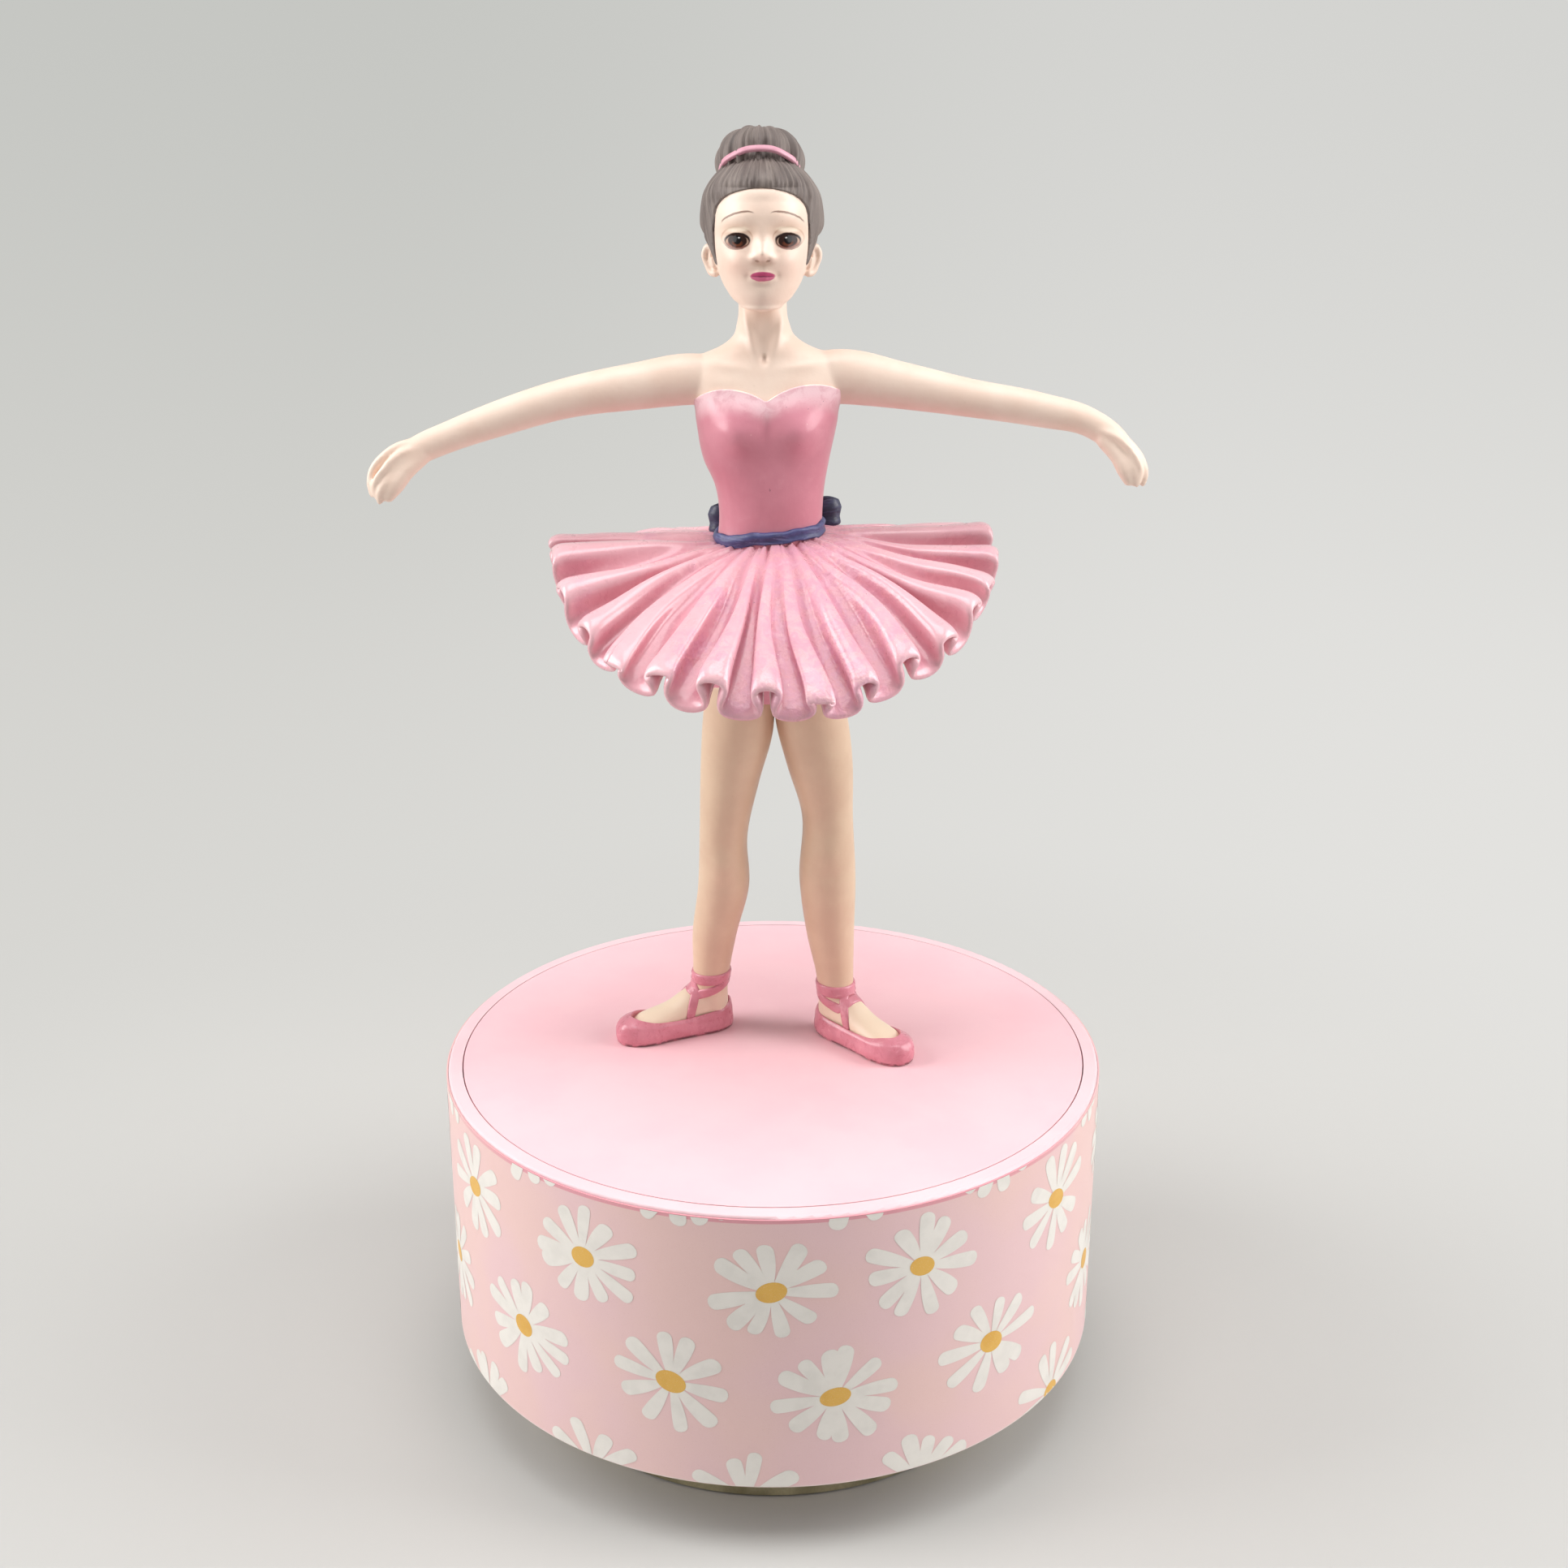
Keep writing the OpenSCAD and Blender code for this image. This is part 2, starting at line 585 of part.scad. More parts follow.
module comb_screws() {
    color("silver") at_comb_screws() translate([0, 0, tooth_mid_z + comb_root_t]) rotate([180, 0, 0])
        screw(comb_screw_r, comb_root_t + comb_bore_l - bore_spare, comb_head_r, comb_head_t);
}

module governor_bracket() {
    lower_z = worm_z - arm_gap - arm_t;
    upper_z = worm_z + worm_l + arm_gap;
    color("gray") difference() {
        union() {
            translate([worm_x - arm_w, bracket_y, bed_z + bed_t])
                cube([2 * arm_w - 1, bracket_t, upper_z + arm_t - bed_z - bed_t]);
            for (z = [lower_z, upper_z]) translate([worm_x - arm_w / 2, worm_y - arm_w / 2, z])
                cube([arm_w, bracket_y - worm_y + arm_w / 2 + eps, arm_t]);
            translate([worm_x - arm_w, bracket_y - 4, bed_z + bed_t]) cube([2 * arm_w - 1, 4 + eps, arm_t]);
        }
        translate([worm_x, worm_y, lower_z - eps])
            cylinder(r = fan_arbor_r + running, h = upper_z - lower_z + arm_t + 2 * eps, $fn = 32);
        translate([worm_x - 0.5, bracket_y - 2, bed_z + bed_t - eps])
            cylinder(r = bracket_screw_r + screw_gap, h = arm_t + 2 * eps, $fn = 32);
    }
}

module bracket_screws() {
    color("silver") translate([worm_x - 0.5, bracket_y - 2, bed_z + bed_t + arm_t]) rotate([180, 0, 0])
        screw(bracket_screw_r, arm_t, bracket_head_r, bracket_head_t);
}

module tune_cylinder() {
    end_t = 1.2;
    pin_root = 0.3;
    color("gold") difference() {
        union() {
            translate([cylinder_x, 0, axis_z]) rotate([0, 90, 0]) difference() {
                cylinder(r = cylinder_d / 2, h = cylinder_l);
                translate([0, 0, end_t]) tube(cylinder_d / 2 - 0.8, arbor_r + 1, cylinder_l - 2 * end_t);
            }
            // Three pins on each note's track
            for (n = [0:notes - 1], k = [0:2])
                translate([cylinder_x + (n + 0.5) * cylinder_l / notes, 0, axis_z])
                    rotate([(n * 47 + k * 120 + n * k * 13) % 360, 0, 0])
                        translate([0, 0, cylinder_d / 2 - pin_root])
                            cylinder(d = pin_d, h = pin_l + pin_root, $fn = 16);
        }
        translate([cylinder_x - eps, 0, axis_z]) x_bar(arbor_r, cylinder_l + 2 * eps);
    }
}

module cylinder_arbor() {
    color("silver") translate([pinion_x - arbor_end, 0, axis_z])
        x_bar(arbor_r, gear_x + gear_w + 2 * arbor_end - pinion_x);
}

module cylinder_pinion() {
    color("gold") translate([pinion_x, 0, axis_z]) rotate([-90, 0, 0])
        x_gear(pinion_teeth, crown_m, pinion_w, arbor_r, gap_first = true);
}

module cylinder_gear() {
    color("gold") translate([gear_x, 0, axis_z]) x_gear(gear_teeth, gear_m, gear_w, arbor_r);
}

module governor_arbor() {
    color("silver") translate([post2_x - arbor_end, gov_y, axis_z])
        x_bar(gov_r, post3_x + post_t + 2 * arbor_end - post2_x);
}

module governor_pinion() {
    color("gold") translate([gear_x, gov_y, axis_z]) rotate([180, 0, 0])
        x_gear(gov_teeth, gear_m, gear_w, gov_r, gap_first = true);
}

module governor_wheel() {
    color("gold") translate([wheel_x, gov_y, axis_z])
        x_gear(wheel_teeth, wheel_m, wheel_w, gov_r, share = 0.32);
}

function spun(p, a) = [p[0] * cos(a) - p[1] * sin(a), p[0] * sin(a) + p[1] * cos(a)];

// A right-handed worm with its gap towards the wheel at mid height
module governor_worm() {
    thread = 31;
    flank = 51;
    half_section = concat([for (a = [-thread, 0, thread]) worm_tip * [cos(a), sin(a)]],
        [for (a = [flank, 90, 180 - flank]) worm_core * [cos(a), sin(a)]]);
    turn = 360 * worm_l / worm_lead;
    color("gold") translate([worm_x, worm_y, worm_z])
        linear_extrude(worm_l, twist = -turn, slices = 56, $fn = 12)
            rotate(-turn / 2) polygon([for (k = [0, 180], p = half_section) spun(p, k)]);
    color("silver") {
        translate([worm_x, worm_y, worm_z - arm_gap - arm_t - 0.3])
            cylinder(r = fan_arbor_r, h = arm_gap + arm_t + 0.3 + eps, $fn = 32);
        translate([worm_x, worm_y, worm_z + worm_l - eps])
            cylinder(r = fan_arbor_r, h = fan_z + fan_h - worm_z - worm_l + eps, $fn = 32);
    }
}

module fan() {
    color("ivory") translate([worm_x, worm_y, fan_z]) difference() {
        union() {
            cylinder(r = 1.5, h = fan_h, $fn = 32);
            for (a = [0, 90]) rotate(a) translate([-fan_d / 2, -0.25, 0]) cube([fan_d, 0.5, fan_h]);
        }
        translate([0, 0, -eps]) cylinder(r = fan_arbor_r, h = fan_h + 2 * eps, $fn = 32);
    }
}

// ---------- dancer ----------

module on_disc() {
    translate([0, 0, top_z]) children();
}

module at_heel(heel) {
    translate([heel[0], heel[1], 0]) rotate(heel[2]) children();
}

module leg_form(stations, heel) {
    stack(stations, leg_sides);
    at_heel(heel) along(foot_st, 16);
}

module pilot(heel) {
    at_heel(heel) translate([screw_along, 0, -eps])
        cylinder(r = figure_screw_r + running, h = figure_screw_l + pilot_spare + eps, $fn = 24);
}

module leg(stations, heel) {
    color("bisque") on_disc() difference() {
        leg_form(stations, heel);
        pilot(heel);
    }
}

module shoe(stations, heel) {
    color("palevioletred") on_disc() difference() {
        intersection() {
            at_heel(heel) along(shoe_st, 20);
            at_heel(heel) translate([-shoe_space[0] / 6, -shoe_space[1] / 2, 0]) cube(shoe_space);
        }
        leg_form(stations, heel);
        pilot(heel);
    }
}

// A strap over the foot from one side of the shoe to the other
module strap(heel) {
    wrapped = [for (s = foot_st) [s[0], s[1] + ribbon_t, s[2], s[3] + ribbon_t]];
    at_heel(heel) intersection() {
        along(wrapped, 16);
        translate([strap_along, -shoe_space[1] / 2, strap_z]) rotate([0, strap_lean, 0])
            cube([ribbon_h, shoe_space[1], shoe_space[2]]);
    }
}

// Two ribbons wound round the ankle, the lower one leaning over the instep, and the strap
module ribbons(stations, heel) {
    ankle = stations[2];
    upper = stations[3];
    band = [for (k = [-1:1]) let (out = ribbon_t * (1 - 0.2 * k * k))
        [k * ribbon_h / 2, 0, 0, upper[3] + band_ease + out, upper[4] + 2 * band_ease + out]];
    color("palevioletred") on_disc() difference() {
        union() {
            translate([upper[1], upper[2], ankle[0] + upper_band_z]) stack(band, leg_sides);
            translate([ankle[1], ankle[2], ankle[0] + lower_band_z]) rotate([0, 0, heel[2]]) rotate([0, 22, 0])
                scale([1.15, 1, 1]) stack(band, leg_sides);
            strap(heel);
        }
        leg_form(stations, heel);
        at_heel(heel) along(shoe_st, 20);
    }
}

module torso_form() {
    stack(body_st, body_sides);
}

module waist_form() {
    stack(waist_st, body_sides);
}

module neck_form() {
    stack(neck_st, body_sides);
}

// Height of the sweetheart neckline: two humps, with the dip between them below the ends
function neckline(t, inner) = neck_side_z + (neck_hump_z - neck_side_z) * sin(t)
    - (neck_side_z - neck_dip[1]) * max(0, inner);

// Everything above the sweetheart neckline in front and the straight one behind
module above_neckline() {
    reach = 2 * body_st[0][3];
    lobe = (shoulder_x[1] - shoulder_x[0]) / 4;
    low = shoulder_x[0] - 1.5 * lobe;
    high = shoulder_x[1] + 1.5 * lobe;
    humps = concat([for (t = [0:10:180]) [neck_dip[0] - lobe - lobe * cos(t), neckline(t, -cos(t))]],
        [for (t = [10:10:180]) [neck_dip[0] + lobe - lobe * cos(t), neckline(t, cos(t))]]);
    front = concat([[low, neck_side_z]], humps, [[high, neck_side_z], [high, neck_side_z + reach],
        [low, neck_side_z + reach]]);
    rotate([90, 0, 0]) linear_extrude(reach) polygon(front);
    translate([-reach, -eps, neck_back_z]) cube([2 * reach, reach, 2 * reach]);
}

module leotard() {
    color("palevioletred") on_disc() difference() {
        torso_form();
        above_neckline();
    }
}

module bust() {
    color("bisque") on_disc() intersection() {
        torso_form();
        above_neckline();
        translate([shoulder_x[0], -shoulder_w, hip_z]) cube([shoulder_w, 2 * shoulder_w, hip_z]);
    }
}

module arm(stations, side) {
    color("bisque") on_disc() limb(stations, arm_sides, side);
}

module head_form() {
    stack(head_st, head_sides);
    for (s = [-1, 1]) translate([head_st[4][1] + s * ear[0], ear[1], ear[2]]) rotate([0, s * 14, 0])
        stack([for (k = [-2:2]) let (r = sqrt(1 - k * k / 6)) [k * 1.15, 0, 0, 1.1 * r, 1.3 * r]], 12);
}

module head() {
    color("bisque") on_disc() difference() {
        head_form();
        neck_form();
    }
}

module hair() {
    color("dimgray") on_disc() difference() {
        stack(hair_st, head_sides);
        head_form();
        neck_form();
        face_cut();
    }
}

// The opening of the hair over the face
module face_cut() {
    translate([head_st[4][1], 0, face[2]]) rotate([90, 0, 0]) linear_extrude(2 * face[0])
        polygon([for (i = [0:23]) let (a = 15 * i) [face[0] * cos(a), face[1] * sin(a)]]);
}

module bun_form() {
    translate(bun_at) rotate([bun_tilt, 0, 0])
        stack([for (k = [-4:4]) let (t = k * 21) [bun_h / 2 * sin(t), 0, 0, bun_w / 2 * cos(t),
            bun_w / 2 * 0.95 * cos(t)]], 24);
}

module bun() {
    color("dimgray") on_disc() difference() {
        bun_form();
        stack(hair_st, head_sides);
    }
}

module hair_tie() {
    color("hotpink") on_disc() difference() {
        translate(bun_at) rotate([bun_tilt, 0, 0]) translate([0, 0, -tie_below])
            rotate_extrude($fn = 36) translate([tie_r, 0]) circle(d = tie_t, $fn = 12);
        bun_form();
        stack(hair_st, head_sides);
    }
}

// Height of the tutu's hem at an angle from +X, lowest in front
function hem_z(a) = tutu_top + side_rise + side_lean * cos(a)
    - (sin(a) < 0 ? front_drop * pow(-sin(a), 1.9) : back_drop * sin(a));

// Height of the skirt's upper face, a share of the way from the waist to the hem
function skirt_z(a, share) = tutu_top + (hem_z(a) - tutu_top) * pow(share, 1.25)
    + pleat_depth / 2 * sin(pleats * a) * pow(share, 0.8);

// A point of the pleated skirt's upper or under face
function tutu_point(a, share, under) =
    let (curl = 0.35 * pleat_depth * cos(pleats * a) * share,
        flat_r = tutu_root + (tutu_r - tutu_root) * share,
        r = flat_r * (1 + 0.02 * sin(pleats * a) * share) - (under ? 0.3 : 0),
        z = skirt_z(a, share) - (under ? tutu_t * (0.9 + 0.3 * share) : 0))
    [r * cos(a) - curl * sin(a), r * sin(a) + curl * cos(a), z];

module tutu_form() {
    sides = pleats * 8;
    shares = [0, 0.3, 0.55, 0.8, 1];
    loft(concat([for (s = shares) [for (i = [0:sides - 1]) tutu_point(360 * i / sides, s, true)]],
        [for (k = [4:-1:0]) [for (i = [0:sides - 1]) tutu_point(360 * i / sides, shares[k], false)]]));
}

module tutu() {
    color("palevioletred") on_disc() difference() {
        tutu_form();
        waist_form();
        sash_form();
    }
}

module sash_form() {
    waist = body_st[5];
    translate([waist[1], waist[2], sash_z]) rotate([0, sash_tilt, 0])
        stack([[-sash_h / 2, 0, 0, waist[3] + sash_t * 0.8, waist[4] + sash_t * 0.8],
            [0, 0, 0, waist[3] + sash_t * 1.1, waist[4] + sash_t * 1.1],
            [sash_h / 2, 0, 0, waist[3] + sash_t * 0.8, waist[4] + sash_t * 0.8]], body_sides);
}

module sash() {
    color("darkslateblue") on_disc() difference() {
        sash_form();
        waist_form();
    }
}

// Two loops and a knot at the back of the sash
module bow() {
    color("darkslateblue") on_disc() difference() {
        translate(bow_at) {
            for (s = [-1, 1])
                limb([[s * 0.4, 1, 0, 1.2, 1], [s * 3, 1.4, 0, 2.0, 1.2], [s * 6.2, 1.2, 0.1, 2.7, 1.4],
                    [s * 8.6, 0.8, 0.2, 2.6, 1.3], [s * 9.7, 0.6, 0.2, 1.4, 0.8]], 12, s);
            translate([0, 1.2, 0]) stack([[-1.9, 0, 0, 1.2, 1], [-1, 0, 0, 1.8, 1.5], [1, 0, 0, 1.8, 1.5],
                [1.9, 0, 0, 1.2, 1]], 12);
        }
        waist_form();
        sash_form();
    }
}

module right_leg() { leg(right_leg_st, right_heel); }
module left_leg() { leg(left_leg_st, left_heel); }
module right_shoe() { shoe(right_leg_st, right_heel); }
module left_shoe() { shoe(left_leg_st, left_heel); }
module right_ribbons() { ribbons(right_leg_st, right_heel); }
module left_ribbons() { ribbons(left_leg_st, left_heel); }
module right_arm() { arm(right_arm_st, -1); }
module left_arm() { arm(left_arm_st, 1); }

foot_dish();
foot_base_plate();
foot_pad();
winding_spindle();
spindle_nut();
spindle_collar();
thrust_washer();
spring_arbor();
great_wheel();
drum_shell();
daisy_film();
top_disc();
bottom_plate();
case_screws();
bedplate();
movement_screws();
spring_barrel();
barrel_cover();
mainspring();
comb();
comb_screws();
governor_bracket();
bracket_screws();
figure_screws();
tune_cylinder();
cylinder_arbor();
cylinder_pinion();
cylinder_gear();
governor_arbor();
governor_pinion();
governor_wheel();
governor_worm();
fan();
right_leg();
left_leg();
right_shoe();
left_shoe();
right_ribbons();
left_ribbons();
leotard();
bust();
right_arm();
left_arm();
head();
hair();
bun();
hair_tie();
tutu();
sash();
bow();
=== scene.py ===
"""Looks of the ballerina music box: a painted cast dancer on a pink drum with a printed film.

New pieces are drawn in millimetres, with heights measured from the top disc, and are put in the
model's own frame, in metres, when they are finished. The dancer faces -Y.
"""
import math
import random

import bmesh
import bpy
import numpy as np
from mathutils import Matrix, Vector
from mathutils.bvhtree import BVHTree


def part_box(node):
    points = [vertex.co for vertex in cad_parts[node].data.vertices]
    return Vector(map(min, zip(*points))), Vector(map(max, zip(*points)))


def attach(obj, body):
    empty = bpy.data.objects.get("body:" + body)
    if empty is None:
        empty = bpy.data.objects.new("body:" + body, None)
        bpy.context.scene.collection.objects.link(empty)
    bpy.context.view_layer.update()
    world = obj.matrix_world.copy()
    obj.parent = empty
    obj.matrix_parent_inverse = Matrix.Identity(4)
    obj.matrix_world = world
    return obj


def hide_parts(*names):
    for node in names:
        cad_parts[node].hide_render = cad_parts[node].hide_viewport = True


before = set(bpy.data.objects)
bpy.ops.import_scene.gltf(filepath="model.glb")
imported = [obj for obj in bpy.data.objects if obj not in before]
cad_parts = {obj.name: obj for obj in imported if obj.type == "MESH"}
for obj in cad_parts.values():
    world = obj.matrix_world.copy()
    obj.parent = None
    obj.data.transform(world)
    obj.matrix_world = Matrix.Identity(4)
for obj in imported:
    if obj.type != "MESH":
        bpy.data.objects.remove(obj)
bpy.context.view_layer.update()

MM = 0.001
TURN = 2 * math.pi
DISC_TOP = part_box("top_disc")[1][2] / MM
BOX_BODY = "music_box"
FORWARD, ACROSS, UP = Vector((0, -1, 0)), Vector((1, 0, 0)), Vector((0, 0, 1))
MERGE = 0.002  # points closer than this become one
ON_PLANE = 1e-5  # points closer than this to a cutting plane lie on it

# ---------- mesh helpers ----------


def course(rows, knots=None):
    """A smooth run through rows of numbers; what comes back reads them at any knot values."""
    rows = np.array(rows, float)
    knots = rows[:, 0] if knots is None else np.array(knots, float)
    slopes = np.gradient(rows, knots, axis=0)

    def read(k):
        k = np.clip(np.asarray(k, float), knots[0], knots[-1])
        i = np.clip(np.searchsorted(knots, k, side="right") - 1, 0, len(knots) - 2)
        gap = knots[i + 1] - knots[i]
        t = ((k - knots[i]) / gap)[:, None]
        lead, follow = slopes[i] * gap[:, None], slopes[i + 1] * gap[:, None]
        return ((2 * t**3 - 3 * t**2 + 1) * rows[i] + (t**3 - 2 * t**2 + t) * lead
                + (3 * t**2 - 2 * t**3) * rows[i + 1] + (t**3 - t**2) * follow).T

    return read


def lengthwise(rows):
    """Knots at the distances along the first three numbers of each row."""
    steps = np.linalg.norm(np.diff(np.array(rows, float)[:, :3], axis=0), axis=1)
    return np.concatenate([[0], np.cumsum(steps)])


def unit(v):
    return v / np.maximum(np.linalg.norm(v, axis=0), 1e-9)


def turned(a, b, angle):
    """Two coordinates turned about the origin, by an angle in radians."""
    c, s = math.cos(angle), math.sin(angle)
    return a * c - b * s, a * s + b * c


def squared(wave, power):
    """A sine or cosine with a flatter top, for sections that are more box than oval."""
    return np.sign(wave) * np.abs(wave) ** power


def dome(across, up):
    """1 in the middle, falling softly to nothing about twice as far out as where a distance is 1."""
    return np.exp(-(across**2) - up**2)


def skin(across, along, place, joined=True):
    """A grid bent into a skin. place(turn, share), both from 0 to 1, gives points in millimetres."""
    bm = bmesh.new()
    bm.loops.layers.uv.new("UVMap")
    bmesh.ops.create_grid(bm, x_segments=across, y_segments=along, size=1, calc_uvs=True)
    spots = np.array([v.co[:2] for v in bm.verts]) / 2 + 0.5
    points = np.stack(np.broadcast_arrays(*place(spots[:, 0], spots[:, 1])), axis=1)
    for vert, point in zip(bm.verts, points):
        vert.co = point
    if joined:
        bmesh.ops.remove_doubles(bm, verts=bm.verts, dist=MERGE)
        fill(bm)
        bmesh.ops.recalc_face_normals(bm, faces=bm.faces)
    return bm


def fill(bm):
    """Closes what is open, and gives back the new faces."""
    rims = [e for e in bm.edges if e.is_boundary]
    return bmesh.ops.holes_fill(bm, edges=rims, sides=0)["faces"] if rims else []


def column(stations, across, along):
    """Level ovals stacked up: [height, centre x, centre y, half width, half depth]."""
    read = course(stations)
    low, high = stations[0][0], stations[-1][0]

    def place(u, v):
        z, cx, cy, w, d = read(low + (high - low) * v)
        a = TURN * u
        return cx + w * np.cos(a), cy + d * np.sin(a), z

    return skin(across, along, place)


def limb(stations, across, along, cap):
    """A limb along its stations, [x, y, height, half thickness, half depth], with round ends that take
    up a share cap of its rings each."""
    knots = lengthwise(stations)
    read = course(stations, knots)

    def place(u, v):
        k = np.clip((v - cap) / (1 - 2 * cap), 0, 1) * knots[-1]
        spot = read(k)
        step = 0.01 * knots[-1]
        d = unit(read(k + step)[:3] - read(k - step)[:3])
        deep = unit(np.array([[0.0], [1.0], [0.0]]) - d * d[1])
        thick = np.cross(d, deep, axis=0)
        end = np.where(v < cap, v / cap - 1, np.where(v > 1 - cap, (v - 1) / cap + 1, 0)) * math.pi / 2
        a = TURN * u
        return (spot[:3] + d * np.sin(end) * np.minimum(spot[3], spot[4])
                + np.cos(end) * (deep * spot[4] * np.cos(a) + thick * spot[3] * np.sin(a)))

    return skin(across, along, place)


def between_loops(loops, v):
    """Points a share v of the way through loops of equally many points, on smooth lines."""
    stack = np.array(loops)
    last = len(loops) - 1
    s = v * last
    i = np.clip(np.floor(s).astype(int), 0, last - 1)
    t = (s - i)[None, :]
    n = np.arange(stack.shape[2])
    a, b, c, d = (stack[np.clip(i + k, 0, last), :, n].T for k in (-1, 0, 1, 2))
    return 0.5 * (2 * b + (c - a) * t + (2 * a - 5 * b + 4 * c - d) * t**2
                  + (3 * b - a - 3 * c + d) * t**3)


def as_object(bm, name="work"):
    """A mesh as an object of the scene; the bmesh itself goes."""
    mesh = bpy.data.meshes.new(name)
    bm.to_mesh(mesh)
    bm.free()
    obj = bpy.data.objects.new(name, mesh)
    bpy.context.scene.collection.objects.link(obj)
    return obj


def as_bmesh(obj):
    """The finished mesh of an object, modifiers included; the object itself goes."""
    graph = bpy.context.evaluated_depsgraph_get()
    shaped = bpy.data.meshes.new_from_object(obj.evaluated_get(graph), depsgraph=graph)
    bm = bmesh.new()
    bm.from_mesh(shaped)
    old = obj.data
    bpy.data.objects.remove(obj)
    bpy.data.meshes.remove(old)
    bpy.data.meshes.remove(shaped)
    return bm


def join(*parts):
    """Several meshes in one, side by side."""
    bm = bmesh.new()
    for part in parts:
        mesh = bpy.data.meshes.new("part")
        part.to_mesh(mesh)
        part.free()
        bm.from_mesh(mesh)
        bpy.data.meshes.remove(mesh)
    return bm


def fused(parts, grain, rounds):
    """Overlapping closed skins cast as one, with the creases between them softened."""
    obj = as_object(join(*parts))
    melt = obj.modifiers.new("melt", "REMESH")
    melt.mode = "VOXEL"
    melt.voxel_size = grain
    bm = as_bmesh(obj)
    for _ in range(rounds):
        bmesh.ops.smooth_vert(bm, verts=bm.verts, factor=0.5, use_axis_x=True, use_axis_y=True,
                              use_axis_z=True)
    return bm


def model(bm, dents):
    """Raises or sinks the front by rounded dabs: [x, height, half width, half height, turn, rise]."""
    bm.normal_update()
    spots = np.array([v.co[:] for v in bm.verts])
    facing = np.array([v.normal[:] for v in bm.verts]) @ np.array(FORWARD)
    lift = np.zeros(len(spots))
    for x, z, w, h, turn, rise in dents:
        dx, dz = turned(spots[:, 0] - x, spots[:, 2] - z, -math.radians(turn))
        lift += rise * dome(dx / w, dz / h)
    lift *= np.clip(facing * 1.6, 0, 1)
    for vert, rise in zip(bm.verts, lift):
        vert.co += FORWARD * rise


def mirrored(middle, dents):
    """The same dabs on both sides of a middle line."""
    return [[middle + side * x, z, w, h, side * turn, rise] for x, z, w, h, turn, rise in dents
            for side in (1, -1)]


def trim(bm, axis, at, keep_above):
    """Cuts a mesh square to an axis and leaves it open there."""
    geom = list(bm.verts) + list(bm.edges) + list(bm.faces)
    bmesh.ops.bisect_plane(bm, geom=geom, dist=ON_PLANE, plane_co=axis * at, plane_no=axis,
                           clear_outer=not keep_above, clear_inner=keep_above)


def cut(bm, axis, at, keep_above):
    """Cuts a closed mesh square to an axis and closes it there, with a sharp edge."""
    trim(bm, axis, at, keep_above)
    for face in fill(bm):
        for edge in face.edges:
            edge.smooth = False


def finish_piece(name, bm, material, node, base=DISC_TOP, sharp=None, soften=0):
    """Turns a mesh drawn in millimetres above a base into a piece of the box that replaces a node."""
    bmesh.ops.translate(bm, verts=bm.verts, vec=(0, 0, base))
    bmesh.ops.scale(bm, verts=bm.verts, vec=(MM, MM, MM))
    for face in bm.faces:
        face.smooth = True
    obj = as_object(bm, name)
    if sharp:
        obj.data.set_sharp_from_angle(angle=math.radians(sharp))
    obj.data.materials.append(material)
    if soften:
        round_off = obj.modifiers.new("round off", "SUBSURF")
        round_off.levels = round_off.render_levels = soften
    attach(obj, BOX_BODY)
    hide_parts(node)


# ---------- material helpers ----------

SPECKS = (0.765, 0.785)  # where in a noise only scattered specks are left
# The skirt's crest number carries its painted shade in the fold valleys and painted highlight on the crests
SKIRT_LAYERS = ("crest", "hem")  # numbers that the skirt's mesh carries for its paint
LIP_FROM = 0.93  # share of the leotard's and the skirt's rings that comes before the edge turns in


def rgb(red, green, blue):
    """A screen colour, 0 to 255, as the linear colour that shaders take."""
    def linear(c):
        c /= 255
        return c / 12.92 if c <= 0.04045 else ((c + 0.055) / 1.055) ** 2.4
    return (linear(red), linear(green), linear(blue), 1)


FRECKLE, DUST = rgb(168, 124, 96), rgb(236, 228, 226)
# The first colour here is painted shade for the valleys of the skirt's folds
PAINTED_FOLD_SHADE, MAUVE_SMEAR = rgb(216, 138, 156), rgb(216, 148, 178)
# The first colour here is a painted highlight for the top of the bust, where light from above falls
PAINTED_BUST_HIGHLIGHT, BARE_EDGE = rgb(254, 216, 222), rgb(252, 232, 212)
CREAM, CHIP, PIT = rgb(250, 216, 206), rgb(250, 236, 226), rgb(124, 64, 80)


class Nodes:
    """Short names for adding nodes to a tree."""

    def __init__(self, tree):
        self.tree = tree

    def node(self, kind, values=(), **settings):
        node = self.tree.nodes.new(kind)
        for key, value in settings.items():
            setattr(node, key, value)
        for socket, value in dict(values).items():
            if isinstance(value, bpy.types.NodeSocket):
                self.tree.links.new(value, node.inputs[socket])
            else:
                node.inputs[socket].default_value = value
        return node

    def math(self, operation, a, b=0.0):
        return self.node("ShaderNodeMath", {0: a, 1: b}, operation=operation).outputs[0]

    def seen(self):
        """1 for rays that show a surface, straight, mirrored or through glass; 0 where they only light it."""
        rays = self.node("ShaderNodeLightPath").outputs
        straight_or_mirrored = self.math("MAXIMUM", rays["Is Camera Ray"], rays["Is Glossy Ray"])
        return self.math("MAXIMUM", straight_or_mirrored, rays["Is Transmission Ray"])

    def end_in(self, output, share, a, b):
        """Ends the tree in a mix of two shaders."""
        both = self.node("ShaderNodeMixShader", {0: share, 1: a.outputs[0], 2: b.outputs[0]})
        self.tree.links.new(both.outputs[0], self.tree.nodes[output].inputs["Surface"])


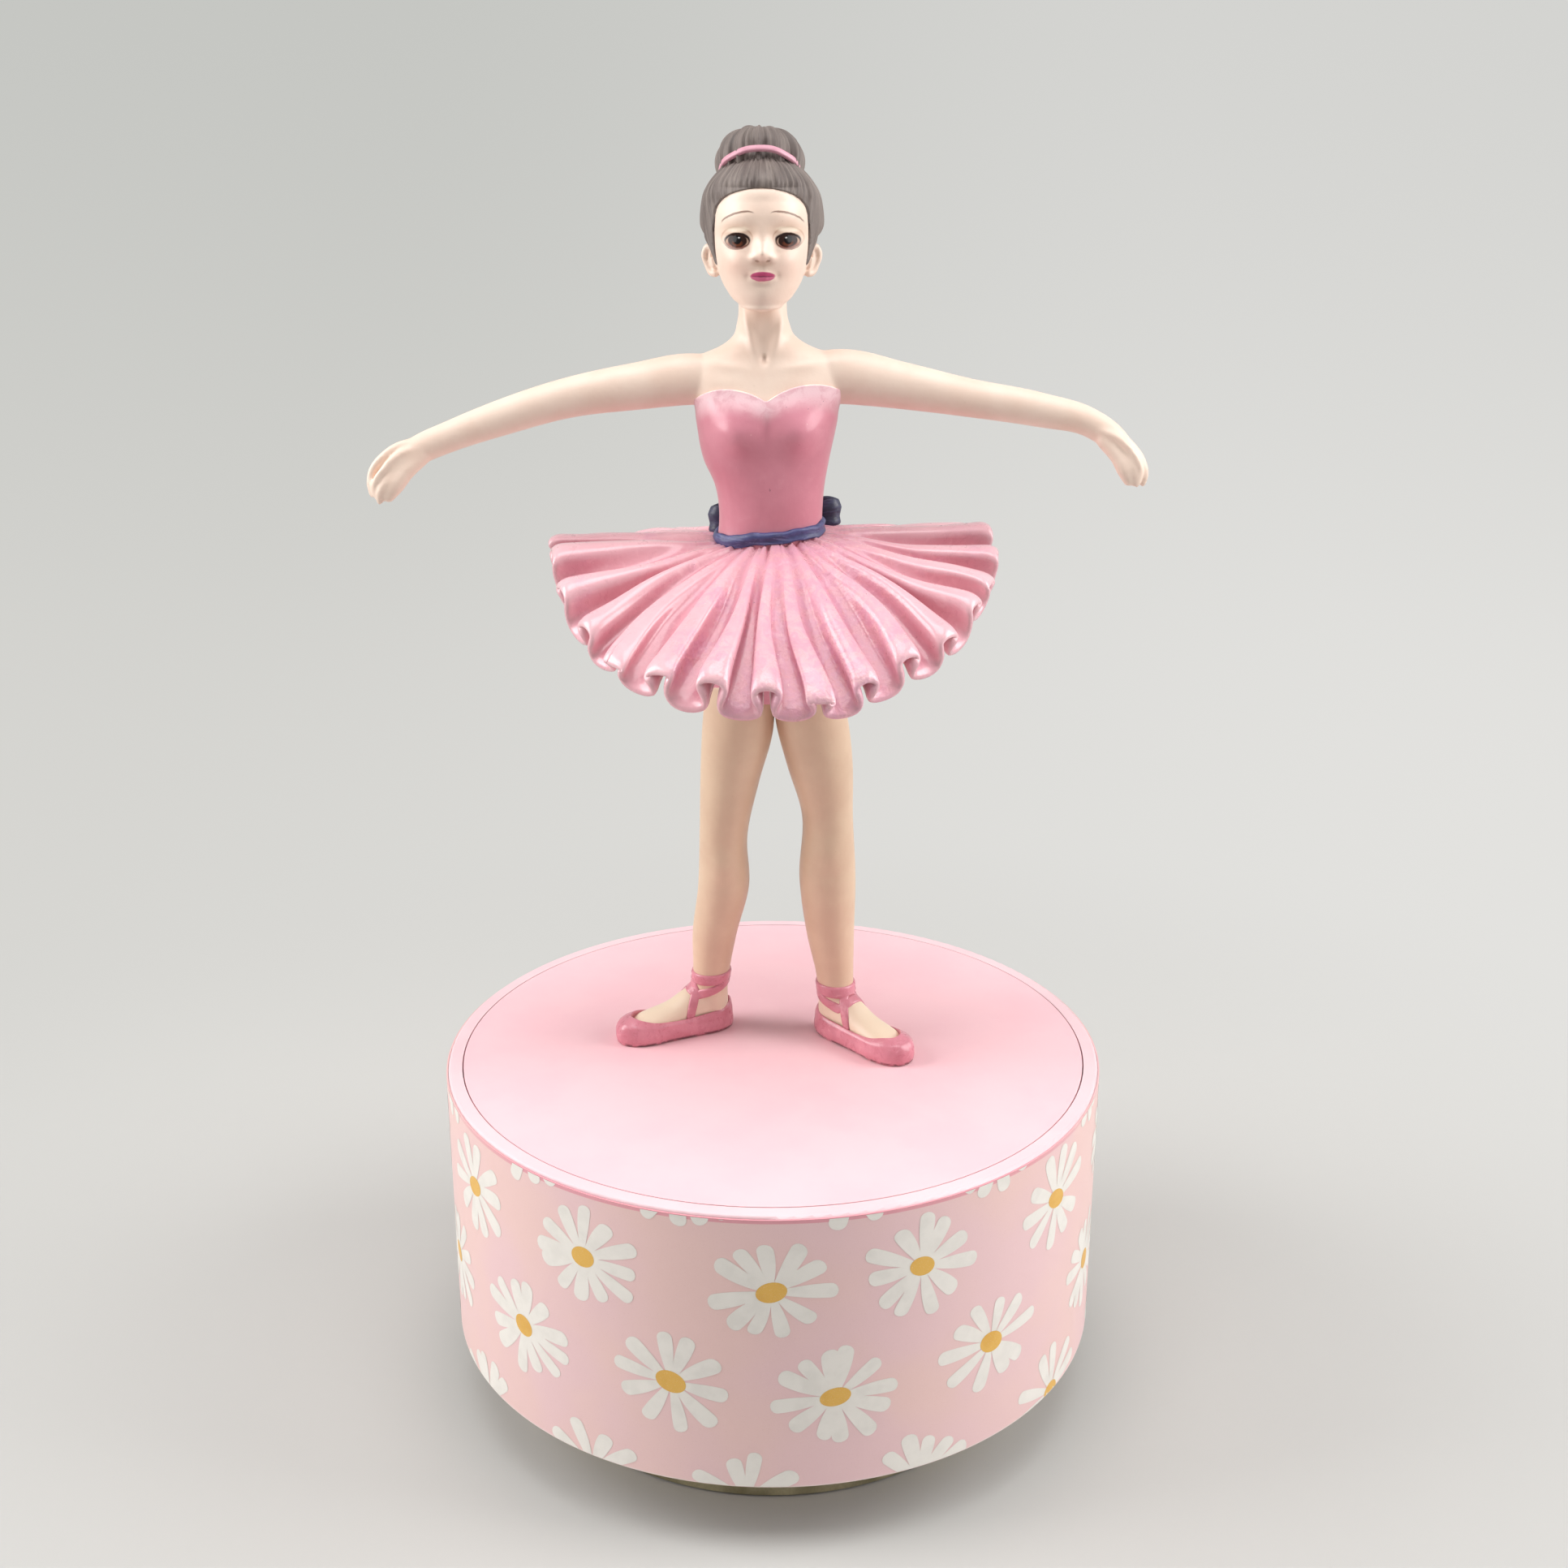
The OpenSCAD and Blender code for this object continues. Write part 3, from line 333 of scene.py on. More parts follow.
class Paint(Nodes):
    """A material with a Principled shader, and short names for the nodes that feed it."""

    def __init__(self, name, **finish):
        self.material = bpy.data.materials.new(name)
        self.material.use_nodes = True
        super().__init__(self.material.node_tree)
        self.shader = self.tree.nodes["Principled BSDF"]
        for socket, value in finish.items():
            self.shader.inputs[socket.replace("_", " ").title().replace("Ior", "IOR")].default_value = value
        source = self.node("ShaderNodeTexCoord")
        self.uv = source.outputs["UV"]
        self.mm = self.mapped(source.outputs["Object"], scale=(1000, 1000, 1000))

    def mapped(self, vector, location=(0, 0, 0), turn=(0, 0, 0), scale=(1, 1, 1), kind="POINT"):
        return self.node("ShaderNodeMapping", {"Vector": vector, "Location": location, "Rotation": turn,
                                               "Scale": scale}, vector_type=kind).outputs["Vector"]

    def noise(self, scale, detail=3, rough=0.55, stretch=None, vector=None, warp=0.0):
        spots = vector or self.mm
        if stretch:
            spots = self.mapped(spots, scale=stretch)
        return self.node("ShaderNodeTexNoise", {"Vector": spots, "Scale": scale, "Detail": detail,
                                                "Roughness": rough, "Distortion": warp}).outputs["Fac"]

    def band(self, value, low, high, out_low=0.0, out_high=1.0):
        return self.node("ShaderNodeMapRange", {"Value": value, "From Min": low, "From Max": high,
                                                "To Min": out_low, "To Max": out_high},
                         interpolation_type="SMOOTHSTEP").outputs["Result"]

    def mix(self, share, a, b):
        return self.node("ShaderNodeMix", {0: share, 6: a, 7: b}, data_type="RGBA").outputs[2]

    def over(self, base, tone, *shares):
        """A tone laid over a base by the product of its shares."""
        share = shares[0]
        for more in shares[1:]:
            share = self.math("MULTIPLY", share, more)
        return self.mix(share, base, tone)

    def axes(self, vector):
        return self.node("ShaderNodeSeparateXYZ", {0: vector}).outputs

    def spot(self, vector, centre, radii, turn=0.0, soft=0.25):
        """1 inside an ellipse in the front view, 0 outside, in millimetres."""
        local = self.mapped(vector, (centre[0], 0, centre[1]), (0, math.radians(-turn), 0),
                            (radii[0], 1e6, radii[1]), "TEXTURE")
        far = self.node("ShaderNodeVectorMath", {0: local}, operation="LENGTH").outputs["Value"]
        return self.band(far, 1 + soft / 2, 1 - soft / 2)

    def height(self, *layers):
        """Bump from (height, depth in millimetres) layers."""
        normal = None
        for value, depth in layers:
            values = {"Height": value, "Distance": depth * MM, "Strength": 1.0}
            if normal:
                values["Normal"] = normal
            normal = self.node("ShaderNodeBump", values).outputs["Normal"]
        self.feed("Normal", normal)

    def feed(self, socket, value):
        self.tree.links.new(value, self.shader.inputs[socket])

    def colour(self, value):
        self.feed("Base Color", value)

    def rough(self, value):
        self.feed("Roughness", value)


def skin_paint(name, tone, shade, features=None):
    """Satin flesh paint, a little uneven. features paints on top and says where the eyes are, which are
    glossier and mirror less."""
    p = Paint(name, coat_weight=0.1, coat_roughness=0.25)
    base = p.mix(p.band(p.noise(0.16), 0.3, 0.7), tone, shade)
    base = p.over(base, FRECKLE, p.band(p.noise(2.2, 2), 0.755, 0.785), 0.3)
    rough = p.band(p.noise(0.8), 0.3, 0.7, 0.36, 0.48)
    if features:
        base, eyes = features(p, base)
        rough = p.math("MULTIPLY", rough, p.band(eyes, 0, 1, 1, 0.3))
        for socket, level in (("Specular IOR Level", 0.5), ("Coat Weight", 0.1)):
            p.feed(socket, p.band(eyes, 0, 1, level, 0.1))
    p.colour(base)
    p.rough(rough)
    p.height((p.noise(1.4), 0.02), (p.noise(0.3, 2), 0.05))
    return p.material


def pink_paint(name, tone, shade, light, gloss, worn=0.35, skirt=False, bust=False):
    """Glossy pink paint, paler where the brush dragged, with pits and specks, and painted light on skirt and
    bust.
    """
    p = Paint(name, coat_weight=0.6 if skirt else 0.25, coat_roughness=0.1 if skirt else 0.18)
    base = p.mix(p.band(p.noise(0.12, 4), 0.35, 0.65), tone, shade)
    drag = p.noise(0.5, 6, 0.65, warp=0.6)
    rough_places = p.band(p.noise(0.07, vector=p.mapped(p.mm, (31, 12, 8))), 0.52, 0.66)
    if skirt:
        crest, hem = (p.node("ShaderNodeAttribute", attribute_name=layer).outputs["Fac"]
                      for layer in SKIRT_LAYERS)
        # Painted shade in the fold valleys and a painted highlight on the fold crests, as light falls on the
        # folds
        base = p.over(base, PAINTED_FOLD_SHADE, p.band(crest, 0.3, 0.0, 0.0, 0.45))
        base = p.over(base, light, p.band(crest, 0.5, 1.0, 0.0, 0.45))
        base = p.over(base, light, hem, 0.3)
        rough_places = p.math("MAXIMUM", rough_places, p.spot(p.mm, (6, 132), (11, 14), 20, 1.4))
        base = p.over(base, MAUVE_SMEAR, rough_places, p.band(drag, 0.4, 0.6, 0, 0.6))
    base = p.over(base, light, p.band(drag, 0.52, 0.78), worn)
    if bust:
        front = p.band(p.axes(p.mm)[1], 0, -3)
        height = p.axes(p.uv)[1]
        # Painted highlight along the top of the bust in front, where light from above falls on it
        base = p.over(base, PAINTED_BUST_HIGHLIGHT, p.band(height, 0.855, 0.92), p.band(drag, 0.35, 0.55, 0.55, 0.9),
                      front)
        base = p.over(base, BARE_EDGE, p.band(height, LIP_FROM, 0.945, 0, 0.7), p.band(drag, 0.42, 0.56),
                      front)
    cream = p.band(p.noise(0.7, 5, 0.7, vector=p.mapped(p.mm, (3, 9, 1)), warp=1.0), 0.66, 0.74)
    base = p.over(base, CREAM, cream, worn)
    base = p.over(base, CHIP, p.band(p.noise(1.9, 2), *SPECKS), 0.6)
    pits = p.band(p.noise(1.3, vector=p.mapped(p.mm, (7, 3, 5))), 0.72, 0.76)
    base = p.over(base, PIT, pits, p.band(rough_places, 0, 1, 0.35, 1), 0.55)
    p.colour(base)
    p.rough(p.band(drag, 0.3, 0.75, gloss, gloss + 0.2))
    layers = [(p.noise(0.9, 5), 0.05 if skirt else 0.02), (p.noise(4, 2), 0.012)]
    if skirt:
        layers.append((p.math("MULTIPLY", p.noise(1.1, 4), rough_places), 0.3))
    p.height(*layers)
    return p.material


def metal(name, tone, shade, rough, brushed=None, grain=6.0):
    """Bare metal with brush marks and a little cloudiness."""
    p = Paint(name, metallic=1.0)
    marks = p.noise(grain, stretch=brushed)
    base = p.mix(p.band(p.noise(0.15, 4), 0.3, 0.7), tone, shade)
    p.colour(p.over(base, shade, p.band(marks, 0.45, 0.75), 0.3))
    p.rough(p.band(marks, 0.3, 0.7, rough - 0.06, rough + 0.1))
    p.height((marks, 0.008))
    return p.material


def moulded(name, tone, shade, rough, grain=3.0, depth=0.01, **finish):
    """Moulded plastic or rubber with a fine grain and some dust."""
    p = Paint(name, **finish)
    cloud, fine = p.noise(0.08), p.noise(grain, 2)
    base = p.mix(p.band(cloud, 0.35, 0.65), tone, shade)
    p.colour(p.over(base, DUST, p.band(p.noise(1.1, 2), *SPECKS), 0.3))
    p.rough(p.band(fine, 0.3, 0.7, rough - 0.03, rough + 0.05))
    p.height((fine, depth), (cloud, 0.04))
    return p.material


# ---------- the dancer's shape ----------

# Sections of the body are [height, centre x, centre y, half width, half depth]
TORSO = [[59.6, 0, 0.2, 10.0, 5.5], [66, -0.1, 0.3, 10.4, 6.5], [73, -0.2, 0.3, 10.0, 6.6],
         [79, -0.3, 0.2, 8.6, 6.1], [82.5, -0.4, 0.1, 7.7, 5.8], [85.5, -0.25, 0, 7.3, 5.6],
         [88.5, -0.2, 0, 7.3, 5.8], [92, -0.35, 0, 7.75, 6.0],
         [95.4, -0.8, 0, 8.8, 6.3], [101, -0.75, -0.1, 9.9, 6.5],
         [103.8, -0.7, 0, 10.35, 6.2], [105.4, -0.6, 0.1, 11.2, 5.6], [107.6, -0.6, 0.3, 12.2, 4.9],
         [109.4, -0.6, 0.5, 11.6, 4.3], [110.6, -0.7, 0.7, 9.6, 3.9], [111.6, -0.9, 0.9, 6.9, 3.8],
         [113, -1.1, 1.1, 4.7, 3.6], [115, -1.25, 1.2, 3.8, 3.5], [119.8, -1.3, 1.1, 3.5, 3.4]]
SHOULDERS = (-11.4, 10.4)
CHEST_FROM, CHEST_LOW = 94, 101  # where the chest's shape starts, and where it is cut off in the leotard
# Arms, palms, thumbs and fingers are [x, y, height, half thickness, half depth]
RIGHT_ARM = [[-7, 0.5, 106.9, 3.4, 3.0], [-11.4, 0.4, 107.1, 3.7, 3.2], [-19.6, 0.2, 106.1, 3.4, 3.0],
             [-29.7, -0.5, 104.5, 2.9, 2.7], [-39.2, -1.3, 101.8, 2.6, 2.4], [-46.5, -2.2, 99.3, 2.25, 2.1],
             [-51.2, -2.9, 97.4, 2.1, 2.0], [-53.4, -3.2, 96.2, 1.9, 2.0]]
LEFT_ARM = [[6, 0.5, 107.4, 3.7, 3.1], [10.4, 0.4, 107.45, 3.95, 3.3], [18.8, 0.2, 106.2, 3.4, 3.0],
            [28.2, -0.5, 104.6, 2.8, 2.7], [38.9, -1.3, 102.9, 2.5, 2.4], [46.1, -2.2, 101.2, 2.1, 2.1],
            [49.3, -2.9, 99.2, 1.95, 1.9], [51.0, -3.2, 97.5, 1.7, 1.9]]
RIGHT_HAND = [
    [[-51.2, -3.0, 97.0, 1.9, 2.0], [-53.6, -3.4, 95.6, 2.0, 2.1], [-55.3, -3.7, 93.6, 1.9, 2.2],
     [-56.3, -3.8, 91.8, 1.4, 1.9]],
    [[-50.6, -3.7, 96.6, 1.2, 1.2], [-53.2, -4.8, 94.4, 1.35, 1.1], [-54.7, -5.3, 92.4, 1.3, 1.0],
     [-55.7, -5.2, 90.9, 0.9, 0.8]],
    [[-53.6, -4.6, 95.0, 0.7, 0.8], [-55.6, -5.4, 93.3, 0.75, 0.75], [-56.8, -5.4, 91.4, 0.65, 0.7],
     [-57.0, -5.1, 90.2, 0.5, 0.55]],
    [[-50.4, -3.9, 97.8, 0.7, 0.8], [-53.2, -4.7, 97.3, 0.6, 0.62], [-54.8, -5.2, 96.3, 0.55, 0.6],
     [-56.1, -5.4, 94.9, 0.55, 0.6], [-57.2, -5.4, 93.5, 0.55, 0.6], [-57.7, -5.1, 92.2, 0.5, 0.55],
     [-57.6, -4.8, 91.0, 0.45, 0.5]],
    [[-50.2, -3.2, 98.6, 0.8, 0.8], [-54.1, -3.6, 98.0, 0.66, 0.8], [-56.5, -3.9, 96.4, 0.64, 0.8],
     [-58.0, -4.0, 94.5, 0.62, 0.8], [-58.4, -4.0, 92.6, 0.6, 0.75], [-58.25, -3.9, 91.0, 0.5, 0.6]],
    [[-50.6, -2.2, 98.2, 0.8, 0.8], [-54.0, -2.5, 97.6, 0.8, 0.85], [-56.4, -2.7, 96.0, 0.8, 0.85],
     [-57.8, -2.8, 94.2, 0.8, 0.85], [-58.2, -2.8, 92.4, 0.72, 0.8], [-58.0, -2.7, 91.1, 0.6, 0.6]]]
LEFT_HAND = [
    [[48.8, -3.0, 99.1, 1.8, 1.9], [50.9, -3.4, 97.0, 1.7, 2.0], [52.0, -3.7, 95.0, 1.5, 2.1],
     [52.6, -3.8, 93.4, 1.0, 1.7]],
    [[48.0, -3.7, 98.8, 1.1, 1.2], [50.1, -4.8, 96.5, 1.15, 1.05], [51.0, -5.3, 94.7, 1.1, 0.95],
     [51.7, -5.2, 93.2, 0.8, 0.75]],
    [[50.2, -4.5, 97.4, 0.6, 0.7], [51.8, -5.4, 95.6, 0.65, 0.65], [52.5, -5.4, 94.1, 0.6, 0.65],
     [52.7, -5.1, 92.8, 0.45, 0.5]],
    [[47.4, -3.9, 100.3, 0.7, 0.8], [49.6, -4.7, 99.5, 0.6, 0.62], [51.1, -5.2, 98.3, 0.55, 0.6],
     [52.3, -5.4, 96.9, 0.55, 0.6], [53.1, -5.4, 95.3, 0.55, 0.6], [53.2, -5.1, 93.8, 0.5, 0.55],
     [53.0, -4.8, 92.6, 0.42, 0.5]],
    [[47.2, -3.2, 101.0, 0.8, 0.8], [50.2, -3.6, 99.7, 0.64, 0.8], [52.2, -3.9, 98.0, 0.62, 0.8],
     [53.7, -4.0, 95.9, 0.6, 0.8], [54.2, -4.0, 93.9, 0.58, 0.75], [54.0, -3.9, 92.6, 0.48, 0.6]],
    [[47.4, -2.2, 100.6, 0.8, 0.8], [50.1, -2.5, 99.3, 0.78, 0.85], [52.0, -2.7, 97.7, 0.76, 0.85],
     [53.4, -2.8, 95.6, 0.74, 0.85], [53.8, -2.8, 93.9, 0.68, 0.8], [53.6, -2.7, 92.8, 0.56, 0.6]]]
RIGHT_LEG = [[1.2, -9.8, 7.8, 2.0, 2.2], [3.5, -10.0, 7.6, 2.5, 2.7], [7.4, -10.4, 7.2, 2.9, 3.1],
             [10.5, -10.15, 6.6, 3.0, 3.1], [17.5, -9.5, 5.5, 3.6, 3.7], [26.6, -7.9, 4, 4.1, 4.3],
             [35.5, -7.8, 2.5, 3.8, 4.1], [45.3, -6.65, 1.5, 4.65, 4.8], [53.5, -5.4, 0.6, 5.5, 5.3],
             [62, -4.9, 0.2, 5.2, 5.2]]
LEFT_LEG = [[1.2, 9.6, 5.4, 2.0, 2.2], [3.5, 9.9, 5.2, 2.5, 2.7], [6.2, 10.3, 4.9, 2.9, 3.1],
            [10, 10.1, 4.7, 3.0, 3.1], [17.7, 9.3, 4.2, 3.8, 3.8], [28.2, 8.7, 3.2, 4.5, 4.4],
            [39.7, 8.55, 2, 4.05, 4.1], [48.1, 7.3, 1, 5.15, 4.9], [54.9, 6.1, 0.5, 5.6, 5.3],
            [62, 5.1, 0.2, 5.0, 5.2]]
# The foot inside the shoe is [along, half width, underside, top]
FOOT = [[0.9, 1.5, 0.8, 3.6], [2, 2.2, 0.8, 5.2], [5, 2.6, 0.8, 8.6], [8, 2.5, 0.8, 7.4],
        [11, 2.7, 0.8, 5.6], [14, 2.9, 0.8, 4.6], [16, 2.7, 0.8, 4.0], [18.2, 1.4, 0.8, 2.4]]
# Where each heel stands, x and y, and which way its toes point, in degrees
RIGHT_HEEL = (-6.8, 8.9, 202.5)
LEFT_HEEL = (7.5, 7.5, -45)
NECK_PIT = (-1.05, 110.4)


def hand(parts):
    """Palm, thumb and fingers, still apart."""
    return [limb(part, 20, 36, 0.12) for part in parts]


def upper_body():
    """Chest, neck, arms and hands cast as one, then parted at the shoulders."""
    chest = column([station for station in TORSO if station[0] > CHEST_FROM], 72, 100)
    parts = [chest, limb(RIGHT_ARM, 40, 120, 0.04), limb(LEFT_ARM, 40, 120, 0.04)]
    bm = fused(parts + hand(RIGHT_HAND) + hand(LEFT_HAND), grain=0.22, rounds=9)
    x, z = NECK_PIT
    neck = mirrored(x, [[2.35, 114.2, 3.6, 0.75, 72, 0.5], [6.2, 109.6, 3.6, 0.55, 8, 0.12],
                        [6.5, 108.3, 2.8, 0.7, 6, -0.05]])
    model(bm, neck + [[x, z, 0.5, 0.6, 0, -0.5], [x, 114.2, 1.0, 2.8, 0, -0.3]])
    right, left = bm.copy(), bm.copy()
    cut(right, ACROSS, SHOULDERS[0], keep_above=False)
    cut(left, ACROSS, SHOULDERS[1], keep_above=True)
    cut(bm, ACROSS, SHOULDERS[0], keep_above=True)
    cut(bm, ACROSS, SHOULDERS[1], keep_above=False)
    cut(bm, UP, CHEST_LOW, keep_above=True)
    return bm, right, left


def at_heel(bm, heel):
    """Moves what is drawn along +X from its heel to where that heel stands."""
    x, y, turn = heel
    about_z = Matrix.Rotation(math.radians(turn), 3, "Z")
    bmesh.ops.rotate(bm, verts=bm.verts, cent=(0, 0, 0), matrix=about_z)
    bmesh.ops.translate(bm, verts=bm.verts, vec=(x, y, 0))
    return bm


def bare_foot(heel):
    """The foot that shows in the shoe's opening."""
    read = course(FOOT)

    def place(u, v):
        x, w, low, high = read(FOOT[0][0] + (FOOT[-1][0] - FOOT[0][0]) * v)
        a = TURN * u
        return x, w * np.cos(a), (low + high) / 2 + (high - low) / 2 * np.sin(a)

    return at_heel(skin(32, 50, place), heel)


def leg(stations, heel, knee):
    """A leg and its foot cast as one, with a kneecap in front."""
    bm = fused([column(stations, 48, 120), bare_foot(heel)], grain=0.33, rounds=4)
    model(bm, [[knee[0], knee[1], 1.9, 2.4, 0, 0.35], [knee[0], knee[1] - 3.6, 1.5, 1.2, 0, -0.12]])
    return bm


def outline(xs, ys, zs, u):
    """A closed loop round the foot from half a plan outline, heel first, and its heights."""
    count = len(xs)
    side = np.abs(((u + 0.5) % 1.0) - 0.5) * 2
    read = course(np.stack([xs, ys, np.broadcast_to(zs, (count,))], 1), np.arange(count) / (count - 1))
    x, y, z = read(side)
    return np.array([x, np.where(u < 0.5, 1, -1) * np.maximum(y, 0), z])


def shoe(heel, lean):
    """A soft ballet shoe: sole, rounded wall, toe cap and the edge of its opening. lean is 1 for the right
    one, -1 for the left one."""
    wide = ([0, 0.7, 3.4, 7.5, 11.5, 15.0, 18.0, 19.8, 20.3], [0, 1.9, 3.2, 3.35, 3.5, 3.8, 3.2, 1.7, 0])

    def about(k, w, z):
        return [10 + (x - 10) * k for x in wide[0]], [y * w for y in wide[1]], z

    # Half plans from heel to toe, and their heights: up over the wall, and down into the opening
    rounds = [about(0.04, 0.04, 0.05), about(0.6, 0.55, 0.02), about(0.93, 0.84, 0.0),
              about(0.985, 0.96, 0.45), about(1, 1, 1.4), about(0.99, 0.965, 2.5),
              ([0.15, 0.9, 3.4, 7.4, 11.4, 14.9, 17.6, 19.2, 19.5],
               [0, 1.8, 3.0, 3.15, 3.3, 3.5, 2.8, 1.4, 0],
               [3.9, 3.7, 3.3, 3.0, 2.95, 3.1, 3.4, 3.5, 3.45]),
              ([0.5, 1.2, 3.5, 7.2, 10.9, 14.2, 16.5, 17.7, 18.0],
               [0, 1.6, 2.75, 2.85, 2.95, 2.95, 2.2, 1.1, 0],
               [4.8, 4.5, 3.9, 3.5, 3.35, 3.5, 3.95, 4.2, 4.25]),
              ([0.85, 1.4, 3.6, 7.2, 10.8, 14.0, 16.2, 17.3, 17.6],
               [0, 1.4, 2.5, 2.6, 2.7, 2.7, 2.0, 1.0, 0],
               [4.7, 4.4, 3.8, 3.4, 3.25, 3.4, 3.85, 4.05, 4.1]),
              ([1.2, 1.7, 3.7, 7.2, 10.6, 13.7, 15.8, 16.9, 17.2],
               [0, 1.2, 2.2, 2.3, 2.4, 2.4, 1.7, 0.8, 0],
               [3.4, 3.2, 2.9, 2.6, 2.5, 2.5, 2.5, 2.5, 2.5]),
              about(0.04, 0.04, 2.0)]
    rng = random.Random(lean)
    waves = [(rng.randint(3, 9), rng.uniform(0, TURN), rng.uniform(0.03, 0.07)) for _ in range(4)]

    def place(u, v):
        loops = [outline(*r, u) for r in rounds]
        ragged = sum(size * np.sin(TURN * n * u + start) for n, start, size in waves)
        for k, share in ((6, 0.4), (7, 1.0), (8, 0.8)):  # the rounds next to the opening's edge
            loops[k][2] += ragged * share
        x, y, z = between_loops(loops, v)
        return x, y + 0.012 * lean * (x - 8), np.maximum(z, 0)

    return at_heel(skin(120, 60, place), heel)


def wrap(surface, path, width, thick, across=120, closed=True):
    """A ribbon laid on a surface along a path of points; its ends tuck in where it is open."""
    points = np.array(path, float)
    if closed:
        points = np.concatenate([points[-2:], points, points[:3]])
    read = course(points, np.arange(len(points)))
    first, last = (2, len(points) - 3) if closed else (0, len(points) - 1)

    def on_surface(p):
        spot, normal, _, _ = surface.find_nearest(Vector(p))
        return np.array(spot), np.array(normal)

    def place(u, v):
        k = first + (last - first) * u
        middle, ahead = read(k).T, (read(k + 0.05) - read(k - 0.05)).T
        a = TURN * v
        out = np.empty((3, len(u)))
        for i in range(len(u)):
            spot, normal = on_surface(middle[i])
            side = np.cross(normal, ahead[i])
            side /= max(np.linalg.norm(side), 1e-9)
            c, s = math.cos(a[i]), math.sin(a[i])
            reach = math.copysign(abs(c) ** 0.6, c) * width / 2
            spot, normal = on_surface(spot + side * reach)
            tuck = 1 if closed else min(1, 12 * min(u[i], 1 - u[i]))
            lift = thick * (0.28 + 0.72 * max(0, s) ** 0.6 * (0.9 + 0.1 * math.cos(6 * a[i]))) * tuck - 0.2
            out[:, i] = spot + normal * (lift if s > -0.2 else -0.3)
        return out

    return skin(across, 16, place)


def oval_path(stations, z, turn, tilt):
    """Points round a leg at a height, dipping by a slope towards a direction."""
    _, cx, cy, w, d = (float(n[0]) for n in course(stations)(np.array([z])))
    count = 16
    return [(cx + w * math.cos(a), cy + d * math.sin(a), z - tilt * math.cos(a - math.radians(turn)))
            for a in (TURN * i / count for i in range(count))]


def foot_point(heel, x, y, z):
    """Where a point drawn along +X from its heel comes to lie."""
    dx, dy = turned(x, y, math.radians(heel[2]))
    return heel[0] + dx, heel[1] + dy, z


# Where the straps run, from the shoe up, with the foot drawn along +X from its heel
STRAPS = ([(8.4, 2.7, 2.6), (8.1, 2.5, 4.4), (7.4, 1.9, 6.3), (6.4, 0.9, 8.0), (5.2, -0.2, 9.3)],
          [(8.8, -3.0, 2.6), (8.4, -2.5, 4.4), (7.6, -1.9, 6.2), (6.5, -0.9, 8.0), (5.3, 0.2, 9.3)])


def ribbons(surface, stations, heel, z):
    """A band round the ankle, one that dips over the instep, and the straps down to the shoe."""
    level = wrap(surface, oval_path(stations, z + 2.5, heel[2], 0.15), 2.0, 0.55)
    dipping = wrap(surface, oval_path(stations, z + 0.7, heel[2], 1.25), 1.6, 0.5)
    straps = [wrap(surface, [foot_point(heel, *p) for p in points], 1.5, 0.5, 60, False)
              for points in STRAPS]
    return join(level, dipping, *straps)


# ---------- leotard, sash, bow and tutu ----------

NECKLINE_DIP, BUST_LINE, BACK_LINE = -0.85, 104.5, 103.6


def neckline(a):
    """Height of the leotard's upper edge at an angle round the body: two humps in front, level behind."""
    x = -0.7 + 10.4 * np.cos(a) - NECKLINE_DIP
    share = np.clip(np.abs(x) / 5.3 - 1, -1, 1)
    humps = BUST_LINE + 1.95 * (1 - share**2) + 0.06 * x
    front = 1 / (1 + np.exp(np.sin(a) * 14 + 1.2))
    return humps * front + BACK_LINE * (1 - front)


def past_lip(v):
    """How far the rings have come through the edge that turns in, 0 to 1."""
    return np.clip((v - LIP_FROM) / (1 - LIP_FROM), 0, 1)


def leotard():
    """A sheet just proud of the body, with the bust in front and an edge that turns in at the neckline."""
    read = course(TORSO)
    foot = TORSO[0][0]

    def place(u, v):
        a = TURN * u
        top = neckline(a)
        rise = np.clip(v / LIP_FROM, 0, 1)
        lip = past_lip(v) * math.pi
        z, cx, cy, w, d = read(foot + (top - foot) * rise)
        proud = 0.22 + 0.16 * np.cos(lip) - 0.16 * (1 - np.cos(lip))
        x = cx + (w + proud) * np.cos(a)
        y = cy + (d + proud) * np.sin(a)
        front = np.clip(-np.sin(a) * 1.4, 0, 1)
        left, right = (dome((x - middle) / 3.1, (z - 100.4) / 3.0) for middle in (-5.3, 4.1))
        valley = dome((x + 0.7) / 0.9, (z - 101.2) / 2.6)
        y = y - front * (1.35 * (left + right) - 0.35 * valley) * np.clip((top + 0.4 - z) / 2.6, 0, 1)
        return x, y, z + 0.16 * np.sin(lip)

    return skin(180, 200, place)


def waist_band():
    """The sash: a tilted band with creases that run along it."""
    wide, deep, high = 7.5, 5.6, 84.85
    tilt = math.radians(-7)

    def place(u, v):
        a, b = TURN * u, TURN * v
        wander = 0.14 * np.sin(3 * a + 0.5) + 0.1 * np.sin(7 * a + 2) + 0.05 * np.sin(16 * a)
        across = squared(np.cos(b), 0.7) * (0.98 + 0.08 * np.sin(2 * a + 1))
        out = 0.42 + 0.45 * squared(np.sin(b), 0.6)
        crease = 0.13 * np.sin(across * 4.2 + 1.1 * np.sin(2 * a)) * (np.sin(b) > 0)
        x = (wide + out + crease) * np.cos(a)
        y = (deep + out + crease) * np.sin(a)
        z = across + wander
        return -0.4 + x * math.cos(tilt) + z * math.sin(tilt), y, high - x * math.sin(tilt) + z

    return skin(200, 24, place)


BOW = (0.35, 6.2, 85.3)  # where its two loops meet


